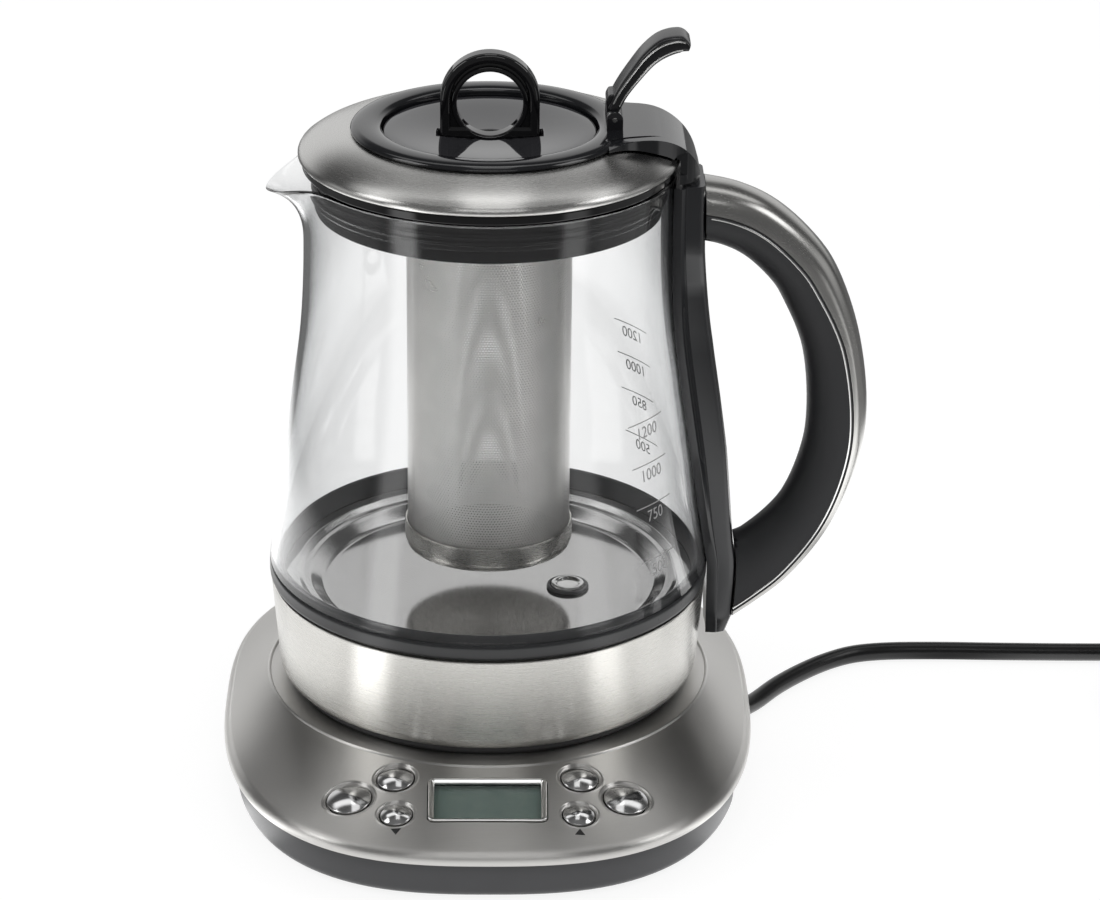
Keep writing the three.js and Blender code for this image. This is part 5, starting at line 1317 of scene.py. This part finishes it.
def makeGasket():
    outer, inner, skirt, lipR, lipWall = gasket.values()
    low, lipTop = heights("glass_gasket")
    high, skirtR = glass["foot"] - gap, dish["flangeR"] + gap
    profile = [(inner, low + skirt), (skirtR, low + skirt), (skirtR, low), (outer - 0.5, low)]
    profile += [(outer - 0.1, low + 0.4), (outer, low + 1.2), (outer, high - 0.9), (outer - 0.25, high - 0.3)]
    profile += [(outer - 0.8, high), (lipR, high), (lipR - 0.5, lipTop - 0.3), (lipR - 0.9, lipTop)]
    profile += [(lipR - lipWall, lipTop - 0.3)]
    dressed(turned("gasket_ring", profile, 192), siliconeGrey, "silicone", "jug", "glass_gasket")


volumeScale = {
    # degrees round the glass, then the height and figure of each line
    "sides": [
        (-38.5, [(143.8, "1200"), (128.8, "1000"), (114.2, "750"), (94.8, "500")]),
        (38.5, [(146, "1200"), (132.6, "1000"), (118, "850"), (100, "500")]),
    ],
    "width": 19,
    "line": 0.36,
    "figure": 5.8,
    "drop": 1,
    "lift": 0.05,
    "ink": 0.06,
}


def wrapped(piece, angle, z):
    # Lays a flat drawing, in millimetres round the origin, on the outside of the glass
    for corner in piece.data.vertices:
        x, y, lift = corner.co
        radius = glassRadius(z + y) + volumeScale["lift"]
        corner.co = at(*polar(radius, radians(angle) + x / radius), z + y)
    return piece


def figuresOf(text):
    clearPick()
    bpy.ops.object.text_add()
    made = bpy.context.object
    made.data.body = text
    made.data.size = volumeScale["figure"]
    made.data.align_x = "CENTER"
    made.data.align_y = "TOP"
    bpy.ops.object.convert(target="MESH")
    made = bpy.context.object
    for corner in made.data.vertices:
        corner.co.y -= volumeScale["drop"]
    return made


def lineOf(width, height):
    clearPick()
    bpy.ops.mesh.primitive_plane_add(size=1)
    made = bpy.context.object
    bpy.ops.object.mode_set(mode="EDIT")
    bpy.ops.mesh.subdivide(number_cuts=12)
    bpy.ops.transform.resize(value=(width, height, 1))
    bpy.ops.object.mode_set(mode="OBJECT")
    return made


def makeScale():
    made = []
    for angle, lines in volumeScale["sides"]:
        for z, text in lines:
            made.append(wrapped(lineOf(volumeScale["width"], volumeScale["line"]), angle, z))
            made.append(wrapped(figuresOf(text), angle, z))
    scale = joined("volume_scale", *made)
    applied(scale, "SOLIDIFY", thickness=volumeScale["ink"] * mm, offset=0)
    ink = moulded("scale_ink", (0.6, 0.6, 0.6), 0.4, 0.4, 0.002)
    dressed(scale, ink, "clear_glass", "jug")


makeGlass()
makeGasket()
makeScale()
print("glass made")


# Handle: strap against the glass, matt grip, steel cover over it, bright line along their seam

strap = {
    "flangeHalf": 15,
    "flange": 3.8,
    "spineHalf": 9,
    "headHalf": 13,
    "spineDeep": 11.6,
    "tipHalf": 6.4,
    "steps": 5,
    "shares": [
        # height, depth of the spine, width of the flange, width of the head
        (0, 0.42, 0, 0),
        (0.04, 0.66, 0.3, 0),
        (0.12, 0.76, 0.32, 0),
        (0.21, 0.78, 0.4, 0),
        (0.3, 0.88, 0.7, 0),
        (0.42, 0.98, 1, 0),
        (0.54, 1, 1, 0),
        (0.66, 0.97, 1, 0),
        (0.78, 0.84, 1, 0.15),
        (0.86, 0.74, 1, 0.9),
        (1, 0.7, 1, 1),
    ],
}
strap["foot"], strap["top"] = heights("handle_strap")
handle = {
    "reach": 133.4,
    "rootX": 69,
    "width": 25,
    "lowerWidth": 17.6,
    "shellWall": 1.2,
    "squareness": 2.3,
    "seamLine": 0.42,
    "seamDrop": 1.15,
    "screw": (2.8, 1.8, 15),
    "shares": [
        # span and height along the crest, then depth of the steel and of the grip over the width
        (-0.05, 1.004, 0.372, 0.496),
        (0.267, 0.981, 0.37, 0.5),
        (0.484, 0.941, 0.368, 0.5),
        (0.708, 0.862, 0.36, 0.506),
        (0.823, 0.794, 0.344, 0.528),
        (0.947, 0.657, 0.24, 0.584),
        (1, 0.491, 0.208, 0.64),
        (0.96, 0.381, 0.168, 0.66),
        (0.828, 0.25, 0.132, 0.69),
        (0.606, 0.132, 0.12, 0.832),
        (0.432, 0.074, 0.112, 0.97),
        (0.18, 0.005, 0.108, 1.02),
    ],
}


def strapWall(z):
    collar = gasket["outerR"] if z < glass["foot"] else 0
    return max(glassRadius(z), collar) + gap


def strapBack(z, deep):
    return strapWall(z) + strap["flange"] + deep * (strap["spineDeep"] - strap["flange"])


def strapRows():
    columns = [list(enumerate(column)) for column in zip(*strap["shares"])]
    for i in range((len(strap["shares"]) - 1) * strap["steps"] + 1):
        yield [between(column, i / strap["steps"]) for column in columns]


def mirrored(points):
    return [(x, -y) for x, y in reversed(points)]


def makeStrap():
    s = strap
    rings = []
    for high, deep, wide, head in strapRows():
        z = mix(s["foot"], s["top"], high)
        inner, outer, back = strapWall(z), strapWall(z) + s["flange"], strapBack(z, deep)
        half = mix(s["tipHalf"], s["flangeHalf"], wide)
        spine = min(mix(s["spineHalf"], s["headHalf"], head), half)
        edge, root = half / inner, asin(spine / outer)
        points = [polar(inner, share * edge) for share in (-1, -0.7, -0.4)]
        points += [(inner, 0)] + mirrored(points)
        flank = [polar(outer - 1, edge), polar(outer, mix(edge, root, 0.3)), (outer * cos(root) + 0.2, spine)]
        flank += [(back - 2.4, spine - 0.2), (back - 0.7, spine - 0.9), (back, spine - 2.6)]
        rings.append([at(x, y, z) for x, y in points + flank + mirrored(flank)])
    piece = lofted("strap", rings, edge=0.4, segments=2)
    dressed(piece, slatePlastic, "slate_plastic", "jug", "handle_strap")


def strapShadow():
    # What lies behind the strap's outer face, where the handle's ends stop
    rings = []
    rows = [(high, deep) for high, deep, wide, head in strapRows()]
    for high, deep in [(-0.08, rows[0][1]), *rows, (1.08, rows[-1][1])]:
        z = mix(strap["foot"], strap["top"], high)
        x = strapBack(z, deep) + gap
        rings.append([at(px, py, z) for px, py in ((20, -25), (x, -25), (x, 25), (20, 25))])
    return lofted("cutter", rings)


def signedPower(value, exponent):
    return copysign(abs(value) ** exponent, value)


def halfOval(count):
    made = []
    for i in range(count):
        angle = mix(-pi / 2, pi / 2, i / (count - 1))
        made.append([signedPower(value, 2 / handle["squareness"]) for value in (cos(angle), sin(angle))])
    return made


def handleStations():
    # Seam point, outward direction, half width and depths all along the handle
    h = handle
    span, tall = h["reach"] - h["rootX"], strap["top"] - strap["foot"]
    crest = [(h["rootX"] + x * span, strap["foot"] + z * tall) for x, z, steel, grip in h["shares"]]
    depths = [(steel * h["width"], grip * h["width"]) for x, z, steel, grip in h["shares"]]
    path, depths = smoothPath(crest, 7), smoothPath(depths, 7)
    for i, (point, outward, (steel, grip)) in enumerate(zip(path, outwards(path), depths)):
        half = mix(h["width"], h["lowerWidth"], i / (len(path) - 1)) / 2
        yield point - outward * steel, outward, half, steel, grip


def makeHandle():
    wall = handle["shellWall"]
    oval = halfOval(19)
    back = oval[::-1]
    gripRings, steelRings, seams = [], [], ([], [])
    for seam, outward, half, steel, grip in handleStations():

        def spot(distance, y):
            place = seam + outward * distance
            return at(place.x, y, place.y)

        core = half - wall - gap
        inner = [spot(-gap - d * (grip - gap), w * half) for d, w in oval]
        gripRings.append(inner + [spot(d * (steel - wall) - gap, w * core) for d, w in back])
        outer = [spot(d * steel, w * half) for d, w in oval]
        steelRings.append(outer + [spot(d * (steel - wall), w * (half - wall)) for d, w in back])
        if seam.x > strapWall(seam.y) + 9:
            for side, line in zip((-1, 1), seams):
                line.append(spot(-handle["seamDrop"], side * (half - 0.12)))
    gripBody = cutFrom(lofted("grip", gripRings), strapShadow(), smooth=50)
    steelCover = cutFrom(lofted("handle_cover", steelRings), strapShadow(), smooth=50)
    dressed(gripBody, gripPlastic, "grip_plastic", "jug", "handle_grip")
    dressed(steelCover, handleSteel, "brushed_steel", "jug", "handle_shell")
    line = joined("seam_line", *[wire("seam_line", points, handle["seamLine"]) for points in seams])
    dressed(line, brightSteel, "bright_steel", "jug")
    for name in ("handle_screw_1", "handle_screw_2"):
        start = Vector((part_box(name)[0].x, jugAxis.y, middleOf(name).z))
        makeScrew(name, "jug", start, (1, 0, 0), handle["screw"])


makeStrap()
makeHandle()
print("handle made")


# Lid: inner body and seal, steel dome, black ring with the tongue over the handle

lid = {"boreR": 30.4, "neckR": 59.4, "flangeR": 64.4, "wall": 1.9, "wellR": 37.2, "ledgeDrop": 0.3}
lid["sealR"] = 61.4
dome = {"rimR": 65.7, "innerR": 40.6, "wall": 1, "rise": 9, "roll": 2.1}
dome["shares"] = [(0, 0.235), (0.14, 0.5), (0.36, 0.75), (0.66, 0.95), (1, 1)]
ring = {"outerR": 47.6, "crestH": 2.6, "foot": 0.75}
tongue = {"reach": 72.3, "rootHalf": 20.5, "tipHalf": 13, "hook": 17.6, "panelInset": 3.4, "panelLift": 0.3}
tongue["crest"] = [(40, 236.3), (48, 236.6), (56.5, 236.2), (62, 234.4)]
tongue["crest"] += [(66.6, 231.2), (70, 226.6), (71.8, 221.6)]
ear = {"radius": 2.8, "thick": 2.2}


def makeLidInner():
    bore, neck, flange, wall, well, drop, sealR = lid.values()
    foot, top = heights("lid_inner")
    seatZ = glass["rim"] + 0.5
    rim = seatZ + 2.8
    ledge = rim - drop
    profile = [(bore, foot), (neck, foot), (neck, seatZ), (flange, seatZ), (flange, rim), (neck - wall, rim)]
    profile += [(neck - wall, foot + wall), (bore + wall, foot + wall), (bore + wall, ledge - wall)]
    profile += [(well + wall, ledge - wall), (well + wall, top), (well, top), (well, ledge), (bore, ledge)]
    piece = turned("lid_body", profile, 160, edge=0.35)
    dressed(piece, lidPlastic, "inner_plastic", "lid", "lid_inner")
    low, high = heights("lid_seal")
    stem = neck + gap
    web = stem + 1
    profile = [(stem, low), (stem + 0.6, low), (web, low + 0.6)]
    for z in (low + 2.2, low + 5):
        profile += [(web, z), (sealR, z + 0.9), (sealR - 0.2, z + 1.5), (web, z + 1.5)]
    profile += [(web, high - 2.2), (sealR, high - 1.1), (sealR, high), (stem, high)]
    seal = turned("lid_gasket", profile, 160, edge=0.12, segments=2)
    dressed(seal, sealBlack, "silicone", "lid", "lid_seal")


def domeCurve(lift=0):
    foot = footOf("lid_dome") + lift
    points = []
    for inwards, high in dome["shares"]:
        points.append((mix(dome["rimR"], dome["innerR"], inwards), foot + high * dome["rise"]))
    return [tuple(point) for point in smoothPath(points, 6)]


def makeDome():
    rimR, wall, roll = dome["rimR"], dome["wall"], dome["roll"]
    foot = footOf("lid_dome")
    profile = [(rimR - wall, foot), (rimR - 0.35, foot + 0.1), (rimR, foot + 0.55)]
    profile += [(rimR + 0.02, foot + 1.3), (rimR - 0.15, foot + 1.8)]
    profile += domeCurve()[1:] + domeCurve(-wall)[:3:-1] + [(rimR - 1.6 * wall, foot + roll / 2)]
    dressed(turned("lid_steel", profile, 192), domeSteel, "brushed_steel", "lid", "lid_dome")


def tongueSolid(name, inset, lift):
    # The part of a wedge over the dome that its plan outline keeps
    reach, tip = tongue["reach"], tongue["tipHalf"]
    hookZ = topOf("lid_dome") + ring["crestH"] - tongue["hook"]
    crest = [(x - inset * 0.3, z + lift) for x, z in smoothPath(tongue["crest"], 5)]
    side = [(40, hookZ), *crest, (reach - inset * 0.3, hookZ)]
    rings = []
    for y, drop in ((-36, 1.6), (-27, 1), (-20.5, 0), (20.5, 0), (27, 1), (36, 1.6)):
        rings.append([at(x, y, z if z == hookZ else z - drop) for x, z in side])
    wedge = lofted(name, rings)
    plan = [(33.4, 33.4), (38.5, 28.6), (43.5, 24.4), (49, 21.4), (57, tongue["rootHalf"] - 1.4)]
    plan += [(64.6, tip + 2.6), (69, tip - 0.4), (71.6, tip * 0.55)]
    plan = smoothPath(plan + [(reach + 0.3, 0)] + mirrored(plan), 5)
    plan = [(x - inset, copysign(max(0, abs(y) - inset), y)) for x, y in plan]
    outline = lofted("cutter", [[at(x, y, z) for x, y in plan] for z in (hookZ - 4, 250)])
    return cutFrom(wedge, outline, operation="INTERSECT")


def makeRing():
    outer, crestH, lift = ring.values()
    foot, over = footOf("lid_ring"), topOf("lid_dome")
    well, skirt = lid["wellR"], dome["innerR"] - gap
    ringFoot = topOf("lid_inner") + gap
    half = (outer - well) / 2
    profile = [(well, ringFoot), (skirt, ringFoot), (skirt, over + gap), (outer, over + gap)]
    profile += [(outer + 0.1, over + 0.8)] + arc(well + half, over + lift, half, 10, 170, 12, crestH - lift)
    torus = turned("lid_collar", profile, 192)
    body = tongueSolid("tongue", 0, 0)
    rim = dome["rimR"] + 0.6
    hollow = [(0, foot - 4), (rim, foot - 4), (rim, footOf("lid_dome") + 2.1)]
    cutFrom(body, turned("cutter", hollow + domeCurve(0.6)[3:] + [(0, over + 0.6)], 128))
    for side in (-1, 1):
        cutFrom(body, rod("cutter", at(65.8, side * 18.2, 226.4), (0, -side, 0), 4, 4))
    rounded(body, 1.1, 4, 40)
    smoothed(body, 45)
    raised = tongueSolid("tongue_panel", tongue["panelInset"], tongue["panelLift"])
    low = [(0, foot - 4), (80, foot - 4), (80, over - 6), (50, over + 0.6), (0, over + 0.6)]
    cutFrom(raised, turned("cutter", low, 96))
    rounded(raised, 0.25, 2, 40)
    smoothed(raised, 45)
    ears = []
    outline = [(side * ear["radius"], over - axle.y) for side in (-1, 1)]
    outline += arc(0, 0, ear["radius"], 0, 180, 12)
    near = lever["width"] / 2 + gap
    for side in (-1, 1):
        sides = (side * near, side * (near + ear["thick"]))
        rings = [[at(axle.x + x, y, axle.y + z) for x, z in outline] for y in sides]
        ears.append(lofted("ear", rings, edge=0.4))
    piece = joined("lid_ring_tongue", torus, body, raised, *ears)
    dressed(piece, slateGloss, "gloss_black", "lid", "lid_ring")


lever = {
    "reach": 69.2,
    "width": 15,
    "thickness": 6,
    "height": 25.4,
    "barrelR": 2.7,
    "boreR": 1.4,
    "pinR": 1.1,
    "slot": 5,
    "slotR": 2.55,
    "ridgeR": 0.28,
    "shares": [
        # reach, height and thickness along the arm
        (-0.02, 0.087, 0.72),
        (0.093, 0.327, 0.76),
        (0.269, 0.594, 0.88),
        (0.44, 0.811, 1),
        (0.616, 0.945, 1.12),
        (0.813, 1, 1),
        (0.93, 0.965, 0.46),
    ],
}
spring = {"radius": 1.85, "wire": 0.4, "turns": 3, "length": 3.75, "steps": 96}
pinMiddle = middleOf("lever_pin")
axle = Vector((pinMiddle.x - jugAxis.x, pinMiddle.z)) / mm


def makeLever():
    half = lever["width"] / 2
    span = lever["reach"] - axle.x
    path = smoothPath([(axle.x + x * span, axle.y + z * lever["height"]) for x, z, t in lever["shares"]], 8)
    thick = smoothPath([(t * lever["thickness"] / 2, 0) for x, z, t in lever["shares"]], 8)
    rings, ridges = [], ([], [])
    for point, outward, depth in zip(path, outwards(path), thick):
        ring, deep = [], depth.x
        for j in range(32):
            angle = 2 * pi * j / 32
            place = point + outward * signedPower(sin(angle), 0.6) * deep
            ring.append(at(place.x, signedPower(cos(angle), 0.35) * half, place.y))
        rings.append(ring)
        for side, line in zip((-1, 1), ridges):
            place = point + outward * side * deep * 0.5
            line.append((place.x, place.y))
    arm = lofted("lever_arm", rings, edge=0.5)
    barrel = rod("barrel", at(axle.x, -half, axle.y), across, lever["barrelR"], 2 * half, edge=0.4)
    outline = [(0, -1), (2.6, -1), (3, 5.4), (2, 7.4), (0, 7.5)]
    sides = (-0.7 * half, 0.7 * half)
    heel = lofted("heel", [[at(axle.x - x, y, axle.y + z) for x, z in outline] for y in sides], edge=0.7)
    cutFrom(barrel, rod("cutter", at(axle.x, -half - 2, axle.y), across, lever["boreR"], 2 * half + 4, 32))
    slot = rod("cutter", at(axle.x, -lever["slot"] / 2, axle.y), across, lever["slotR"], lever["slot"])
    cutFrom(barrel, slot, smooth=30)
    lines = []
    for line in ridges:
        for y in (-half - 0.02, half + 0.02):
            lines.append(wire("ridge", [at(x, y, z) for x, z in line[3:-5]], lever["ridgeR"]))
    trim = joined("lever_ridges", *lines)
    piece = joined("lever_body", arm, barrel, heel)
    dressed(piece, leverSlate, "slate_plastic", "lever", "thumb_lever")
    dressed(trim, brightSteel, "bright_steel", "lever", "thumb_lever")
    low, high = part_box("lever_pin")
    start = at(axle.x, (low.y - jugAxis.y) / mm, axle.y)
    pin = smoothed(rod("pin", start, across, lever["pinR"], (high.y - low.y) / mm, 32, edge=0.25))
    dressed(pin, brightSteel, "bright_steel", "lid", "lever_pin")
    wound = []
    for i in range(spring["steps"] + 1):
        share = i / spring["steps"]
        x, z = polar(spring["radius"], 2 * pi * spring["turns"] * share, *axle)
        wound.append(at(x, (share - 0.5) * spring["length"], z))
    coiled = wire("coil_spring", wound, spring["wire"])
    dressed(coiled, brightSteel, "bright_steel", "lid", "lever_spring")


makeLidInner()
makeDome()
makeRing()
makeLever()
print("lid made")


# Infuser: perforated tube, collar and cup, and the turning cap with its finger loop

infuser = {"radius": 28.8, "wall": 0.6, "cupR": 29.8, "cupRound": 3.2, "collarR": 34.5, "skirtR": 30}
holes = {"columns": 166, "rowPitch": 0.945, "radius": 0.36, "plainTop": 13, "plainFoot": 3}
cap = {"radius": 36.7, "seatR": 34.2, "plugR": 26.6, "plugWall": 1.8, "hollow": 2.5, "tick": 5, "well": 4.1}
loop = {"half": 17, "rise": 27.4, "holeR": 11.3, "holeRise": 9.4, "width": 7.6, "bar": 3.6, "web": 3}


def strainerFinish():
    # Fine round holes in staggered rows, cut by transparency
    made = Finish("strainer_steel", (0.84, 0.83, 0.81), 0.3, 1)
    columns, rowPitch, holeR, plainTop, plainFoot = holes.values()
    radius, angle, z = made.around()
    turns = angle * (columns / (2 * pi))
    rows = z / (2 * rowPitch)
    columnPitch = 2 * pi * infuser["radius"] / columns

    def nearest(shift):
        aside = ((turns + shift).part() - 0.5) * columnPitch
        along = ((rows + shift).part() - 0.5) * (2 * rowPitch)
        return (aside * aside + along * along).root()

    distance = radius.maths("MINIMUM", nearest(0), nearest(0.5))
    low, high = heights("strainer_tube")
    made.set("Alpha", 1 - (z > low + plainFoot) * (z < high - plainTop) * (distance < holeR))
    cloud = made.noise(made.place(), 0.08, 2)
    made.tinted(cloud, 0.85, 1.1)
    made.set("Roughness", cloud * 0.12 + 0.24)
    made.bump((distance - holeR).step(0, 0.2), 0.06)
    return made


def makeStrainer():
    radius, wall, wide, curve, collarR, skirtR = infuser.values()
    low, high = heights("strainer_tube")
    inner, bore = radius - wall, radius + gap
    tube = turned("mesh_tube", [(inner, low), (radius, low), (radius, high), (inner, high)], 192)
    dressed(tube, strainerFinish(), "strainer_steel", "infuser", "strainer_tube")
    foot, top = heights("strainer_base")
    profile = [(0, foot + 0.3), (wide - curve - 3, foot + 0.3), (wide - curve - 2, foot)]
    profile += arc(wide - curve, foot + curve, curve, -90, 0, 6)
    profile += [(wide, top - 0.5), (wide - 0.25, top), (bore, top), (bore, low - gap), (0, low - gap)]
    cup = turned("mesh_cup", profile, 160)
    dressed(cup, ringSteel, "bright_steel", "infuser", "strainer_base")
    foot, top = heights("strainer_collar")
    ledge = top - 1.9
    profile = [(bore, foot), (skirtR, foot), (skirtR, ledge), (collarR, ledge), (collarR, top), (bore, top)]
    collar = turned("mesh_collar", profile, 160, edge=0.25)
    dressed(collar, ringSteel, "bright_steel", "infuser", "strainer_collar")


def makeCap():
    radius, seatR, plugR, plugWall, hollow, tick, well = cap.values()
    low, high = heights("cap_disc")
    foot = low + 8
    under = foot + 1.8
    lip = radius - 1.3
    profile = [(plugR - plugWall, low), (plugR, low), (plugR, under), (seatR - 1.8, under)]
    profile += [(seatR - 1.8, foot), (seatR, foot), (seatR, under), (radius - 0.3, under)]
    profile += [(radius, under + 0.4), (radius, high - 1.2), (radius - 0.4, high - 0.35)]
    profile += [(mix(lip, 0, i / 11), high - hollow * sin(i / 11 * pi / 2) ** 1.4) for i in range(12)]
    profile += [(0, under), (plugR - plugWall, under)]
    disc = turned("cap_plate", profile, 192)
    pocket = block((2 * loop["half"] + 0.6, loop["width"] + 0.6, 2 * well))
    cutFrom(disc, shifted(pocket, at(0, 0, high)), smooth=30)
    dressed(disc, discSlate, "slate_plastic", "cap", "cap_disc")
    ticks = []
    for side in (-1, 1):
        place = Matrix.Translation(at(side * (radius - tick), 0, high - 0.42))
        ticks.append(moved(block((tick, 0.5, 0.14)), place @ Matrix.Rotation(-side * 0.1, 4, "Y")))
    dressed(joined("cap_marks", *ticks), markPale, "slate_plastic", "cap")
    low, high = heights("cap_seal")
    inner = plugR + gap
    profile = [(inner, low), (inner + 1, low + 0.5), (inner + 1, high - 0.5), (inner, high)]
    seal = turned("cap_ring_seal", profile, 128, edge=0.2)
    dressed(seal, siliconeGrey, "silicone", "cap_ring", "cap_seal")


def archPath(half, centre, foot, steps):
    leg = [(-half, mix(foot, centre, i / 6)) for i in range(6)]
    return leg + arc(0, centre, half, 180, 0, steps) + [(-x, z) for x, z in reversed(leg)]


def makeLoop():
    half, rise, holeR, holeRise, width, bar, thick = loop.values()
    foot, top = heights("cap_loop")
    plate, centre, middle = top - rise, top - half, half - bar / 2
    path = [Vector(spot) for spot in archPath(middle, centre, foot, 40)]
    section = roundRect(bar, width, 1.6, 6)
    rings = []
    for point, side in zip(path, outwards(path)):
        places = [(point + side * a, b) for a, b in section]
        rings.append([at(place.x, b, place.y) for place, b in places])
    arch = lofted("loop_arch", rings)
    outline = archPath(middle, centre, foot, 24)
    web = lofted("loop_web", [[at(x, y, z) for x, z in outline] for y in (-thick / 2, thick / 2)])
    plan = roundRect(2 * (half - 0.6), width - 0.4, 1.6)
    rim = roundRect(2 * (half - 1.4), width - 2.1, 0.8)
    rows = [(plan, foot), (plan, plate + 0.2), (rim, plate + 1.2)]
    shoe = lofted("loop_shoe", [[at(x, y, z) for x, y in row] for row, z in rows])
    hub = at(0, 0, plate + holeRise)
    for piece in (web, shoe):
        cutFrom(piece, rod("cutter", hub - across * 5 * mm, across, holeR + 0.4, 10, 96), smooth=30)
    profile = [(holeR, -2.7), (holeR + 1.9, -2.7), (holeR + 1.9, 2.7), (holeR, 2.7)]
    eye = turnedAlong("loop_ring", profile, 96, edge=0.6)
    moved(eye, Matrix.Translation(hub) @ Matrix.Rotation(pi / 2, 4, "X"))
    below = [[at(x, y, z) for x, y in roundRect(3 * half, 2 * width, 1)] for z in (foot - 20, foot)]
    cutFrom(eye, lofted("cutter", below), smooth=38)
    piece = joined("finger_loop", arch, web, shoe, eye)
    dressed(piece, loopBlack, "gloss_black", "cap", "cap_loop")


makeStrainer()
makeCap()
makeLoop()
print("infuser made")


# Small triangles printed beside the two lower buttons

marks = {"down_mark": (-30.9, -111.4, -1), "up_mark": (31.2, -111.3, 1)}
markSize = {"half": 1.7, "tall": 3, "ink": 0.14}


def makeMarks():
    half, tall, ink = markSize.values()
    for name, (x, y, points) in marks.items():
        tip = points * tall / 2
        corners = [(x - half, y - tip), (x + half, y - tip), (x, y + tip)]
        rings = [[at(px, py, coverZ(px, py) + lift) for px, py in corners] for lift in (0.01, ink)]
        dressed(lofted(name, rings), markDark, "gloss_black", "base")


makeMarks()
print("marks made")


# Pieces of the frame that keep their shape get their finish

carried = {
    "connector_carrier": innerPlastic,
    "control_board": boardGreen,
    "heat_plate": castAluminium,
    "heating_element": castAluminium,
}
for nodeName, finish in carried.items():
    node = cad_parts[nodeName]
    node.data.materials.clear()
    node.data.materials.append(finish.material)
for nodeName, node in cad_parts.items():
    if not node.hide_render and nodeName not in carried:
        print("still plain:", nodeName)
